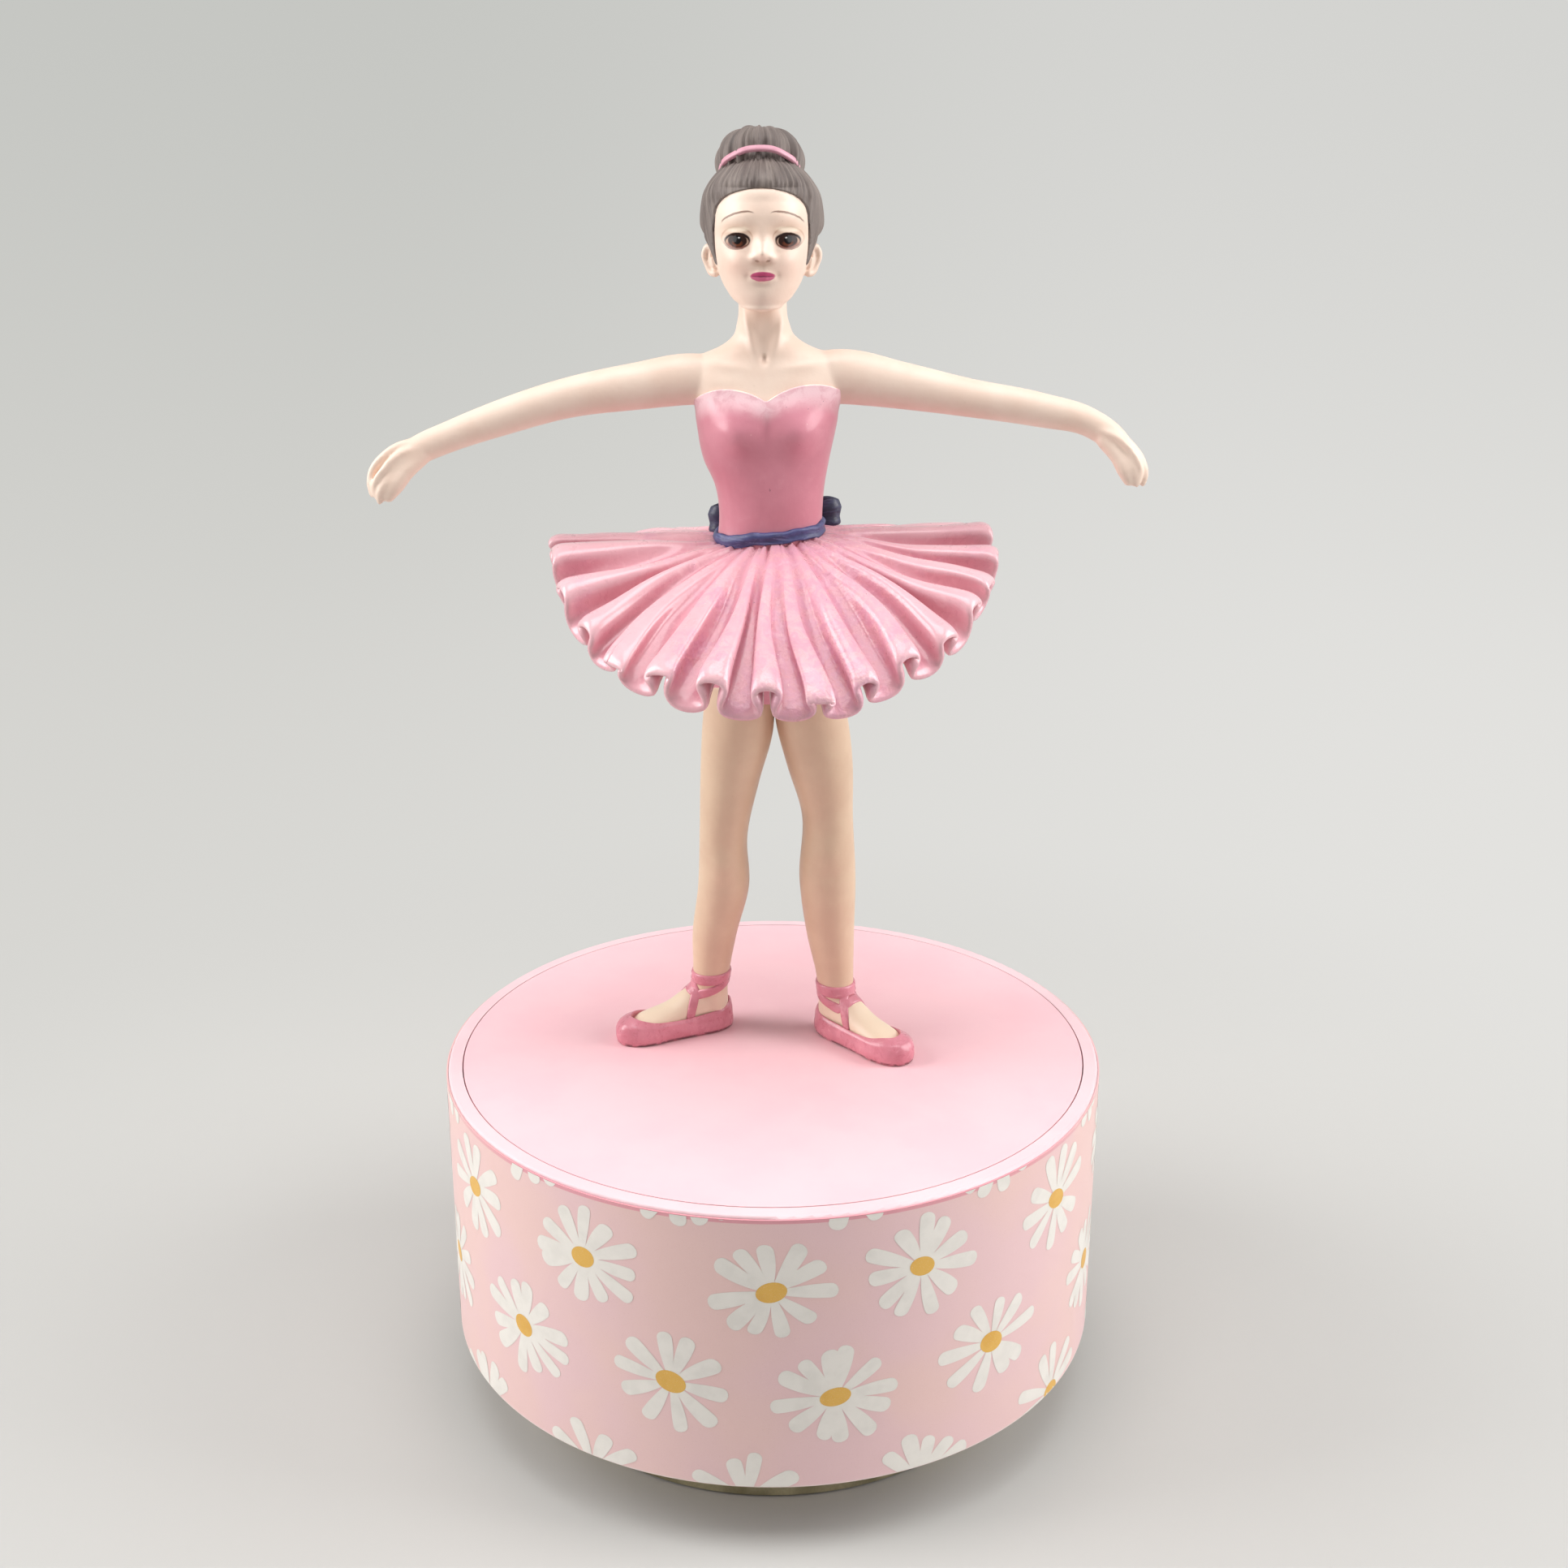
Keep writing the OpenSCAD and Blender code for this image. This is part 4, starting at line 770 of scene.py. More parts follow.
def bow_loop(side):
    """One loop of the bow, a broad band folded back on itself."""
    path = [[0.3, 1.5, 0, 1.1], [2.2, 2.0, 0.1, 1.4], [5.2, 2.5, 0.3, 2.0], [8.2, 2.1, 0.5, 2.2],
            [9.7, 1.0, 0.5, 1.9], [9.0, 0.0, 0.5, 2.15], [6.2, -0.3, 0.3, 2.0], [3.0, 0.2, 0.1, 1.4],
            [0.3, 0.7, 0, 1.0]]
    knots = lengthwise(path)
    read = course(path, knots)

    def place(u, v):
        k = knots[-1] * u
        x, y, lift, half = read(k)
        ahead = read(k + 0.05) - read(k - 0.05)
        length = np.hypot(ahead[0], ahead[1])
        nx, ny = -ahead[1] / length, ahead[0] / length
        b = TURN * v
        up = squared(np.cos(b), 0.75) * half
        folds = np.sin(up * 2.6 + 0.7 * np.sin(3 * u * TURN)) * np.clip(1.3 - np.abs(u - 0.5) * 2, 0, 1)
        out = 0.34 * squared(np.sin(b), 0.6) + 0.14 * folds
        return BOW[0] + side * (x + nx * out), BOW[1] + y + ny * out, BOW[2] + lift + up + 0.06 * side * x

    return skin(90, 24, place)


def bow():
    """Two loops and the knot between them."""
    knot = limb([[BOW[0], 7.4, 83.7, 1.4, 1.2], [BOW[0], 7.7, 84.6, 1.9, 1.5],
                 [BOW[0], 7.7, 86.3, 1.9, 1.5], [BOW[0], 7.4, 87.2, 1.4, 1.2]], 24, 24, 0.2)
    return join(bow_loop(-1), bow_loop(1), knot)


# Where each fold of the skirt's front half has its crest, in degrees, and how deep it is
FRONT_FOLDS = [(-171, 1.0), (-156, 1.05), (-142.5, 1.0), (-131, 0.5), (-118, 0.95), (-104, 1.1), (-91, 0.95),
               (-78, 0.45), (-66.5, 1.0), (-54.5, 0.9), (-42.5, 0.95), (-31, 0.9), (-20, 0.7), (-7, 1.0)]
BACK_FOLDS, BACK_FROM, BACK_STEP = 13, 6.5, 13.9
# The height of the hem's middle line round the skirt, by angle
HEM = [[-180, 82.3], [-171, 80.9], [-156, 77.6], [-142, 73.6], [-131, 70.8], [-118, 69.6], [-104, 68.8],
       [-91, 68.4], [-78, 67.4], [-66, 68.8], [-54, 71.3], [-42, 73.4], [-31, 76.4], [-20, 78.8], [-7, 80.6],
       [8, 83.4], [25, 80.6], [60, 76.4], [90, 75.2], [120, 76.2], [155, 79.2], [170, 81.2], [180, 82.3]]
SKIRT_R = (5.2, 33.3)
SKIRT_WAIST, SKIRT_WALL = 84.35, 1.15
FOLD_RISE, FOLD_DROP = 2.7, 2.3


def tutu():
    """A thick gathered skirt whose hem curls over, as one sheet given its thickness afterwards."""
    rng = random.Random(11)
    folds = FRONT_FOLDS + [(BACK_FROM + BACK_STEP * k + rng.uniform(-1.5, 1.5), rng.uniform(0.75, 1.1))
                           for k in range(BACK_FOLDS)]
    folds.append((folds[0][0] + 360, folds[0][1]))
    crests, depths = np.radians([f[0] for f in folds]), np.array([f[1] for f in folds])
    count = len(folds) - 1

    def per_fold(low, high):
        numbers = [rng.uniform(low, high) for _ in range(count)]
        return np.array(numbers + numbers[:1])

    reaches, bends = per_fold(-0.9, 0.5), per_fold(-0.05, 0.05)
    fades, tilts = per_fold(0, 0.9), per_fold(-0.5, 0.5)
    gathers = [(rng.uniform(0, TURN), rng.uniform(0.018, 0.034), rng.uniform(0.07, 0.22),
                rng.uniform(0.25, 0.5)) for _ in range(72)]
    lumps = [(rng.randint(8, 46), rng.uniform(2, 14), rng.uniform(0, TURN), rng.uniform(0.03, 0.08))
             for _ in range(12)]
    hem_line = course(HEM)

    def place(u, v):
        def here(numbers):
            return np.interp(u * count, np.arange(count + 1), numbers)

        p = TURN * u * count
        share = v**0.9
        a = here(crests) + here(bends) * np.sin(share * math.pi) ** 2 * (1 + share)
        pitch = here(np.gradient(crests)) * SKIRT_R[1]
        depth = here(depths) * (1 - here(fades) * dome(share / 0.45, 0))
        hem = hem_line((np.degrees(a) + 180) % 360 - 180)[1]
        wave = np.cos(p + 0.5 * here(tilts) * np.sin(p))
        wave = wave + 0.22 * (1 - wave**2) * (1 - share)
        rise = (FOLD_RISE + FOLD_DROP) / 2 * wave + (FOLD_RISE - FOLD_DROP) / 2
        waist = SKIRT_WAIST + 0.8 * np.cos(a) * (1 - share) ** 2
        z = waist + (hem - waist) * share**1.25 + rise * depth * share**1.1
        for spot, wide, long, deep in gathers:
            off = np.abs((a - spot + math.pi) % TURN - math.pi)
            z = z - deep * dome(off / (wide * (1 + share)), share / long)
        for n, m, start, size in lumps:
            z = z + size * np.sin(n * a + m * share + start) * np.minimum(share * 3, 1)
        curl = share**2.4
        sideways = 0.185 * pitch * np.sin(2 * p) * curl
        r = SKIRT_R[0] + (SKIRT_R[1] - SKIRT_R[0]) * share + here(reaches) * curl
        r = r + 0.5 * wave * share
        tuck = 0.8 * past_lip(v) ** 2
        # How high on its fold a point lies, which the paint turns into painted shade and painted highlight
        crest = 0.5 + 0.5 * np.cos(p) * np.minimum(share * 3, 1)
        rim = np.clip((v - LIP_FROM) / 0.05, 0, 1)
        return (r * np.cos(a) - sideways * np.sin(a), r * np.sin(a) + sideways * np.cos(a), z - tuck,
                crest, rim)

    bm = bmesh.new()
    bmesh.ops.create_grid(bm, x_segments=count * 14, y_segments=28, size=1)
    layers = [bm.verts.layers.float.new(layer) for layer in SKIRT_LAYERS]
    spots = np.array([v.co[:2] for v in bm.verts]) / 2 + 0.5
    for vert, numbers in zip(bm.verts, np.stack(place(spots[:, 0], spots[:, 1]), axis=1)):
        vert.co = numbers[:3]
        for layer, number in zip(layers, numbers[3:]):
            vert[layer] = number
    bmesh.ops.remove_doubles(bm, verts=bm.verts, dist=MERGE)
    bmesh.ops.recalc_face_normals(bm, faces=bm.faces)
    if sum(f.normal.z for f in bm.faces) < 0:
        bmesh.ops.reverse_faces(bm, faces=bm.faces)
    obj = as_object(bm)
    wall = obj.modifiers.new("wall", "SOLIDIFY")
    wall.thickness = SKIRT_WALL
    wall.offset = -1
    return as_bmesh(obj)


# ---------- head and hair ----------

HEAD_X = -1.4
# Sections of the head and of the hair over it are [height, centre y, half width, half depth]
HEAD = [[117.1, -4.3, 0.2, 0.3], [117.4, -4.0, 1.9, 1.9], [118.2, -2.7, 3.4, 3.6], [120, -1.3, 5.05, 5.5],
        [122.5, -0.3, 6.2, 6.9], [125.5, 0.1, 6.85, 7.7], [129, 0.4, 7.05, 8.1], [132, 0.6, 6.7, 7.7],
        [134.4, 0.8, 5.4, 6.4], [135.8, 1.0, 2.6, 3.2], [136.1, 1.0, 0.3, 0.3]]
HAIR = [[119.4, 5.2, 2.3, 1.6], [120.2, 4.5, 3.9, 3.2], [121.2, 3.6, 5.4, 4.8], [123.5, 2.2, 7.5, 7.2],
        [126.5, 1.4, 8.3, 8.9], [130.5, 1.2, 8.55, 9.5], [133.6, 1.4, 7.8, 8.7], [135.9, 1.7, 6.0, 6.9],
        [137.3, 2.1, 4.3, 4.8], [138.2, 2.6, 2.2, 2.6], [138.5, 2.8, 0.3, 0.3]]
# Parts of an ear are [out from the head's side, y, height, half thickness, half depth]
EAR_OUT = 6.9
EAR = [([[-0.2, 0.2, 125.4, 0.45, 0.5], [0.8, 0.9, 125.7, 0.45, 0.5], [1.35, 1.3, 124.6, 0.42, 0.5],
         [0.95, 1.2, 123.2, 0.42, 0.5], [0.2, 0.7, 122.1, 0.55, 0.55], [-0.3, 0.2, 122.0, 0.5, 0.5]],
        16, 50, 0.1),
       ([[-0.3, 0.9, 122.4, 0.5, 0.8], [0.25, 1.3, 123.6, 0.5, 0.9], [0.3, 1.3, 125.0, 0.5, 0.9]],
        16, 24, 0.2),
       ([[-0.1, -0.2, 123.1, 0.35, 0.35], [0.1, -0.1, 124.0, 0.35, 0.35]], 12, 16, 0.3)]
# The face's middle line, and an eye's middle: how far out from that line, and its height
FACE_X = -1.2
EYE = (3.55, 127.0)


def head():
    """The head with the face modelled in front, closer rings there, and the ears."""
    read = course(HEAD)
    low, high = HEAD[0][0], HEAD[-1][0]

    def place(u, v):
        z, cy, w, d = read(low + (high - low) * (0.5 - 0.5 * np.cos(math.pi * v)) ** 0.92)
        a = TURN * u + 0.275 * np.sin(2 * TURN * u) - 0.35 * np.cos(TURN * u)
        return HEAD_X + w * np.cos(a), cy + d * np.sin(a), z

    bm = skin(300, 220, place)
    both = mirrored(FACE_X, [
        [EYE[0], EYE[1] + 0.3, 2.3, 1.5, 0, -0.75], [EYE[0], EYE[1], 1.45, 0.85, 0, 0.5],
        [EYE[0], EYE[1] + 1.12, 1.7, 0.24, -6, 0.2], [EYE[0] + 0.1, EYE[1] - 1.05, 1.5, 0.2, 8, 0.12],
        [3.3, 130.3, 2.4, 0.9, 0, 0.22], [4.0, 123.9, 1.9, 1.6, 0, 0.4], [1.3, 124.75, 0.6, 0.5, 0, 0.45],
        [2.05, 122.25, 0.4, 0.5, 0, -0.2], [0.5, 122.85, 0.5, 0.25, -20, 0.12],
        [0.9, 124.4, 0.25, 0.2, 0, -0.25], [1.7, 126.9, 0.6, 1.4, 0, -0.2]])
    middle = [[FACE_X, z, wide, tall, 0, rise] for z, wide, tall, rise in (
        (128.8, 1.0, 1.0, 0.1), (127.6, 0.9, 1.0, 0.25), (126.6, 0.85, 1.0, 0.45), (125.8, 0.9, 1.0, 0.6),
        (125.3, 0.9, 1.0, 0.45), (125.2, 0.85, 0.6, 0.45), (123.4, 0.25, 0.5, -0.1),
        (122.6, 1.3, 0.32, 0.42), (121.85, 1.05, 0.34, 0.48), (122.22, 1.6, 0.1, -0.26),
        (120.95, 1.2, 0.5, -0.14), (119.6, 1.7, 1.1, 0.25), (123.3, 2.6, 1.2, 0.2))]
    model(bm, both + middle)
    parts = [bm]
    for side in (1, -1):
        x = HEAD_X + side * EAR_OUT
        for rows, *grid in EAR:
            parts.append(limb([[x + side * out, *rest] for out, *rest in rows], *grid))
    return fused(parts, grain=0.17, rounds=1)


# How high the hair's edge stands, by the angle from the face's middle
HAIR_EDGE = [[0, 133.9], [22, 133.6], [38, 133.1], [48, 132.6], [57, 131.9], [64, 130.7], [68.5, 128.6],
             [70.5, 126.0], [72.5, 124.0], [76, 123.2], [81, 125.0], [88, 126.3], [97, 125.6], [110, 122.6],
             [130, 120.8], [150, 120.1], [180, 119.7]]


def strands(count, waves, seed):
    """Grooves combed into hair: waves round the head, where each starts, its depth and its bend."""
    rng = random.Random(seed)
    return [(rng.randint(*waves), rng.uniform(0, TURN), rng.uniform(0.4, 1.0), rng.uniform(-0.8, 0.8))
            for _ in range(count)]


def grooves(combed, a, bend_run):
    """The grooves' depth at an angle, after they have bent by bend_run."""
    return sum(size * np.sin(n * a + start + bend * bend_run) for n, start, size, bend in combed)


def hair():
    """The hair combed up to the bun: a cap that rises softly from its edge, with combed grooves."""
    edge, full, inner = course(HAIR_EDGE), course(HAIR), course(HEAD)
    combed = strands(14, (18, 60), 5)
    mm_per_degree, crown, head_top = 0.131, 138.3, 134.0
    turns = np.linspace(0, 180, 361)
    line = list(zip(turns, edge(turns)[1]))

    def place(u, v):
        spread = np.interp(np.abs(u - 0.5) * 2, [0, 0.24, 0.66, 1], [0, 40, 84, 180])
        side = np.where(u < 0.5, -1, 1)
        a = math.radians(-90) + side * np.radians(spread)
        low = edge(spread)[1]
        rise = np.sin(v * math.pi / 2) ** 1.15
        z, cy, w, d = full(low + (crown - low) * rise)
        _, head_y, head_w, head_d = inner(np.minimum(z, head_top))
        far = np.full(u.shape, np.inf)  # how far a point is from the hair's edge
        for turn, height in line:
            far = np.minimum(far, np.hypot((spread - turn) * mm_per_degree, z - height))
        wide = np.interp(spread, [0, 60, 78, 180], [4.2, 3.8, 2.6, 2.6])
        step = 1 - (1 - np.minimum(far / wide, 1)) ** 2
        proud = 0.38 * np.minimum(far / 0.22, 1) - 0.2
        ridge = (0.08 * grooves(combed, a, v * 4) * np.minimum(far / 1.2, 1)
                 * np.clip((1 - v) * 5, 0, 1))
        head_w, head_d = head_w + proud, head_d + proud
        x = HEAD_X + (w + ridge) * np.cos(a) * step + (head_w + ridge * 0.5) * np.cos(a) * (1 - step)
        y = (cy + (d + ridge) * np.sin(a)) * step + (head_y + (head_d + ridge * 0.5) * np.sin(a)) * (1 - step)
        return x, y, z

    return skin(420, 120, place)


BUN, BUN_SIZE = (-1.65, 3.6, 137.0), (6.15, 5.7, 4.8)
BUN_LEAN, TIE_LEAN = 24, 38


def leaned(x, y, z, lean):
    """Turns what is drawn upright back by a lean, and puts it at the bun's middle."""
    dy, dz = turned(y, z, -math.radians(lean))
    return BUN[0] + x, BUN[1] + dy, BUN[2] + dz


def bun():
    """A combed bun with a hollow in front."""
    combed = strands(16, (12, 44), 9)
    wide, deep, high = BUN_SIZE

    def place(u, v):
        a = TURN * u
        tip = math.pi * (v - 0.5)
        ridge = 0.11 * grooves(combed, a, v * 2.5) * np.cos(tip) ** 0.5
        hollow = 0.7 * dome((a - 1.5 * math.pi) / 0.35, (tip - 0.05) / 0.3)
        r = (np.cos(tip) ** 0.9 - 0.02 + 0.02 * np.cos(3 * a + 1)) * (1 + (ridge - hollow) / 6)
        return leaned(wide * r * np.cos(a), deep * r * np.sin(a), high * np.sin(tip) * (1 + ridge / 14),
                      BUN_LEAN)

    return skin(320, 90, place)


def hair_tie():
    """A flat band over the front of the bun, whose sides sink into the hair."""
    def place(u, v):
        a, b = TURN * u, TURN * v
        out = 0.34 * squared(np.cos(b), 0.6) + 0.05 * np.sin(9 * a)
        up = 0.44 * squared(np.sin(b), 0.7) + 0.06 * np.sin(4 * a + 1)
        return leaned((5.6 + out) * np.cos(a), (5.75 + out) * np.sin(a), up - 1.85, TIE_LEAN)

    return skin(140, 20, place)


# ---------- the printed film ----------

FILM_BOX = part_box("daisy_film")
FILM_R = FILM_BOX[1][0] / MM
FILM_LOW, FILM_HIGH = (corner[2] / MM for corner in FILM_BOX)
FLOWER_STEP = 27.5
# The flowers in front, by angle and height; each row goes on behind in even steps
FLOWER_ROWS = [[(-59, 46.4), (-31, 45.5), (0, 44.5), (24, 45.9), (54, 46.6)],
               [(-72, 28.4), (-45, 28.7), (-16, 28.4), (10, 26.7), (38, 28.8), (70, 28.1)],
               [(-57.5, 9.5), (-30.5, 9.5), (-4, 9.5), (24.3, 9.5), (55.3, 12)],
               [(-42, 61.4), (-14, 61.4), (12, 61.4), (38, 61.4)]]


def flowers():
    """The angle and height of every flower's middle."""
    for row in FLOWER_ROWS:
        gap = 360 - row[-1][0] + row[0][0]
        count = round(gap / FLOWER_STEP)
        yield from row
        yield from ((row[-1][0] + gap * k / count, row[0][1]) for k in range(1, count))


def faces_inwards(face):
    x, y, _ = face.calc_center_median()
    return face.normal.dot(Vector((x, y, 0))) < 0


def daisies():
    """White petals and ochre middles, laid out flat, trimmed to the film and wrapped round it."""
    rng = random.Random(21)
    root = 0.9  # how far from the flower's middle a petal starts
    petals, middles = bmesh.new(), bmesh.new()
    for degrees, z0 in flowers():
        s0 = math.radians(degrees) * FILM_R
        count = rng.choice((10, 11, 12))
        start = rng.uniform(0, TURN)
        wide, high, lean = rng.uniform(1.95, 2.35), rng.uniform(1.5, 1.75), rng.uniform(-0.4, 0.4)
        for k in range(count):
            angle = start + TURN * k / count + rng.uniform(-0.11, 0.11)
            length = rng.uniform(7.6, 9.3) * (1 + 0.07 * math.cos(2 * angle))
            broad = rng.uniform(1.05, 1.35)
            bend = rng.uniform(-0.6, 0.6)
            for vert in bmesh.ops.create_grid(petals, x_segments=14, y_segments=4, size=1)["verts"]:
                t = 1 - (0.5 - vert.co.x / 2) ** 1.6
                tip = max(0.0, (t - 1) * length / broad + 1)
                half = broad * math.sqrt(max(0, 1 - tip**2)) * (0.3 + 0.7 * math.sin(min(1, t / 0.8) * 1.57))
                ds, dz = turned(root + (length - root) * t, half * vert.co.y + bend * t * t, angle)
                vert.co = (s0 + ds, 0, z0 + dz)
        for vert in bmesh.ops.create_circle(middles, segments=28, radius=1, cap_ends=True)["verts"]:
            ds, dz = turned(vert.co.x * wide, vert.co.y * high, lean)
            vert.co = (s0 + ds, 0, z0 + dz)
    for bm, proud in ((petals, 0.03), (middles, 0.05)):
        bmesh.ops.remove_doubles(bm, verts=bm.verts, dist=0.001)
        trim(bm, UP, FILM_HIGH - 0.1, keep_above=False)
        trim(bm, UP, FILM_LOW + 0.1, keep_above=True)
        bmesh.ops.triangulate(bm, faces=[f for f in bm.faces if len(f.verts) > 4])
        r = FILM_R + proud
        for vert in bm.verts:
            a = vert.co.x / FILM_R
            vert.co = (r * math.sin(a), -r * math.cos(a), vert.co.z)
        bm.normal_update()
        bmesh.ops.reverse_faces(bm, faces=[f for f in bm.faces if faces_inwards(f)])
    return petals, middles


def film_sleeve():
    """The sleeve itself, a thin wall with square edges."""
    inner = FILM_R - 0.25
    corners = np.array([(inner, FILM_LOW), (FILM_R, FILM_LOW), (FILM_R, FILM_HIGH), (inner, FILM_HIGH)])

    def place(u, v):
        r, z = corners[np.round(v * 4).astype(int) % 4].T
        return r * np.sin(TURN * u), -r * np.cos(TURN * u), z

    return skin(240, 4, place)


# ---------- materials ----------

ARM_TONE, ARM_SHADE = rgb(249, 225, 208), rgb(244, 216, 198)
# The legs are painted darker than the arms, in part as painted shade from the tutu above them
LEG_TONE, LEG_SHADE = rgb(226, 199, 170), rgb(220, 190, 162)


def from_eye(x, z):
    return EYE[0] + x, EYE[1] + z


# Painted on each half of the face, from the lowest coat up: middle, half sizes, colour, turn in degrees,
# softness of the edge, strength, and sometimes an ellipse that is left out
# The socket and nostril coats are painted shade
FACE_COATS = {
    "cheek": ((4.0, 123.8), (2.4, 1.9), (236, 176, 158), 0, 1.6, 0.2),
    # painted shade over the eye socket
    "socket": (from_eye(0, 1.3), (2.6, 1.1), (214, 176, 148), -4, 1.2, 0.5),
    "crease": (from_eye(0.05, 0.35), (2.2, 1.55), (196, 150, 120), -3, 0.12, 0.7,
               (from_eye(0.05, 0.25), (2.1, 1.42), -3, 0.12)),
    "lit lid": (from_eye(-0.1, 1.5), (1.5, 0.36), (246, 230, 208), -4, 0.8, 0.7),
    "lashes": (from_eye(0, 0), (1.84, 1.06), (46, 30, 28), -3, 0.14, 1.0),
    "white": (from_eye(0.02, -0.16), (1.62, 0.8), (198, 164, 144), -3, 0.16, 1.0),
    "lower rim": (from_eye(0.1, -0.6), (1.3, 0.42), (138, 78, 68), 4, 0.6, 0.85),
    "iris": (from_eye(-0.05, 0), (1.34, 0.92), (48, 28, 22), 0, 0.18, 1.0),
    "amber": (from_eye(0, -0.38), (0.72, 0.4), (112, 60, 38), 0, 0.7, 0.8),
    "pupil": (from_eye(0, 0.1), (0.58, 0.6), (14, 10, 12), 0, 0.3, 1.0),
    "glint": (from_eye(-0.28, 0.38), (0.14, 0.1), (216, 212, 210), 0, 0.8, 0.8),
    "lower lashes": (from_eye(0.1, -0.1), (1.85, 1.16), (120, 72, 60), -3, 0.1, 0.75,
                     (from_eye(0.1, 0.05), (1.85, 1.1), -3, 0.1)),
    "brow": ((3.45, 129.9), (2.4, 0.92), (118, 84, 66), -17, 0.12, 0.85,
             ((3.36, 129.65), (2.6, 0.9), -17, 0.12)),
    # painted shade in the nostrils
    "nostril": ((0.75, 124.3), (0.3, 0.16), (150, 98, 78), 10, 0.8, 0.7),
    "nose shadow": ((0, 123.95), (1.4, 0.4), (206, 160, 134), 0, 1.2, 0.5),
    "lips": ((0, 122.2), (1.72, 0.68), (206, 104, 136), 0, 0.16, 1.0),
    "upper lip": ((0.42, 122.5), (1.2, 0.3), (196, 70, 118), -9, 0.3, 1.0),
    "mouth line": ((0, 122.2), (1.66, 0.075), (138, 40, 76), 0, 0.5, 0.8),
}


def face_features(p, base):
    """Brows, eyes and lips painted on, the same on both sides of the face's middle line."""
    def vector(operation, a, b):
        return p.node("ShaderNodeVectorMath", {0: a, **b}, operation=operation).outputs[0]

    soft = p.node("ShaderNodeTexNoise", {"Vector": p.mm, "Scale": 1.3, "Detail": 2.0}).outputs["Color"]
    shift = vector("SCALE", vector("SUBTRACT", soft, {1: (0.5, 0.5, 0.5)}), {"Scale": 0.16})
    x, y, z = p.axes(vector("ADD", p.mm, {1: shift}))
    side = p.math("ABSOLUTE", p.math("SUBTRACT", x, FACE_X))
    face = p.node("ShaderNodeCombineXYZ", {0: side, 2: p.math("SUBTRACT", z, DISC_TOP)}).outputs[0]
    front = p.band(y, -2.0, -3.5)
    for centre, radii, tone, turn, edge, strength, *left_out in FACE_COATS.values():
        share = p.spot(face, centre, radii, turn, edge)
        for ellipse in left_out:
            share = p.math("MULTIPLY", share, p.math("SUBTRACT", 1.0, p.spot(face, *ellipse)))
        base = p.over(base, rgb(*tone), share, front, strength)
    return base, p.math("MULTIPLY", p.spot(face, EYE, (1.72, 1.1), -3, 0.2), front)


def paler_feet(p, base):
    """Feet a shade lighter than the legs, out of the tutu's painted shade, and no eyes."""
    height = p.axes(p.mm)[2]
    return p.over(base, rgb(246, 227, 202), p.band(height, DISC_TOP + 9.5, DISC_TOP + 6, 0, 0.8)), 0.0


def hair_paint(name, across, along):
    """Grey-brown paint with lighter strands that run the way the hair is combed."""
    p = Paint(name)
    fine = p.noise(1.0, 5, 0.6, stretch=(across, along, 1), vector=p.uv)
    broad = p.noise(1.0, 3, 0.5, stretch=(across / 4, along, 1), vector=p.uv)
    base = p.mix(p.band(broad, 0.3, 0.7), rgb(104, 92, 88), rgb(134, 122, 116))
    base = p.over(base, rgb(156, 144, 137), p.band(fine, 0.5, 0.75, 0, 0.65))
    p.colour(p.over(base, rgb(72, 60, 57), p.band(fine, 0.46, 0.28, 0, 0.75)))
    p.rough(p.band(fine, 0.3, 0.7, 0.5, 0.64))
    p.height((fine, 0.16), (broad, 0.1))
    return p.material


def navy_paint(name, tone, shade, streak):
    """Dark blue paint with brush strokes that run round the waist."""
    p = Paint(name, coat_weight=0.15)
    strokes = p.noise(0.9, 5, 0.7, stretch=(0.35, 0.35, 2.2), warp=0.8)
    base = p.mix(p.band(p.noise(0.5), 0.35, 0.65), shade, tone)
    base = p.over(base, streak, p.band(strokes, 0.5, 0.68, 0, 0.7))
    p.colour(p.over(base, rgb(34, 34, 62), p.band(strokes, 0.42, 0.3, 0, 0.6)))
    p.rough(p.band(strokes, 0.3, 0.7, 0.36, 0.52))
    p.height((strokes, 0.08), (p.noise(3), 0.02))
    return p.material


def shoe_paint():
    """Shoe pink, paler where it is worn, with a thin dark line of painted shade where the sole meets the
    disc.
    """
    p = Paint("shoe paint", coat_weight=0.35, coat_roughness=0.15)
    wear = p.noise(0.8, 5, 0.6, warp=0.4)
    base = p.mix(p.band(p.noise(0.3), 0.35, 0.65), rgb(219, 139, 154), rgb(207, 125, 140))
    base = p.over(base, rgb(240, 182, 192), p.band(wear, 0.56, 0.78, 0, 0.55))
    # Painted shade: a thin dark line along the bottom, where the sole meets the disc
    sole = p.band(p.axes(p.mm)[2], DISC_TOP + 0.7, DISC_TOP + 0.4)
    p.colour(p.over(base, rgb(92, 44, 50), sole, p.band(wear, 0.42, 0.52), 0.75))
    p.rough(p.band(wear, 0.3, 0.7, 0.24, 0.4))
    p.height((wear, 0.06), (p.noise(3.5, 2), 0.015))
    return p.material


def film_base(name):
    """The film's finish and its fine grain, shared by what is printed on it."""
    p = Paint(name, coat_weight=0.12, coat_roughness=0.3)
    grain = p.noise(7.0, 2)
    p.rough(p.band(grain, 0.3, 0.7, 0.36, 0.5))
    p.height((grain, 0.01))
    return p, grain


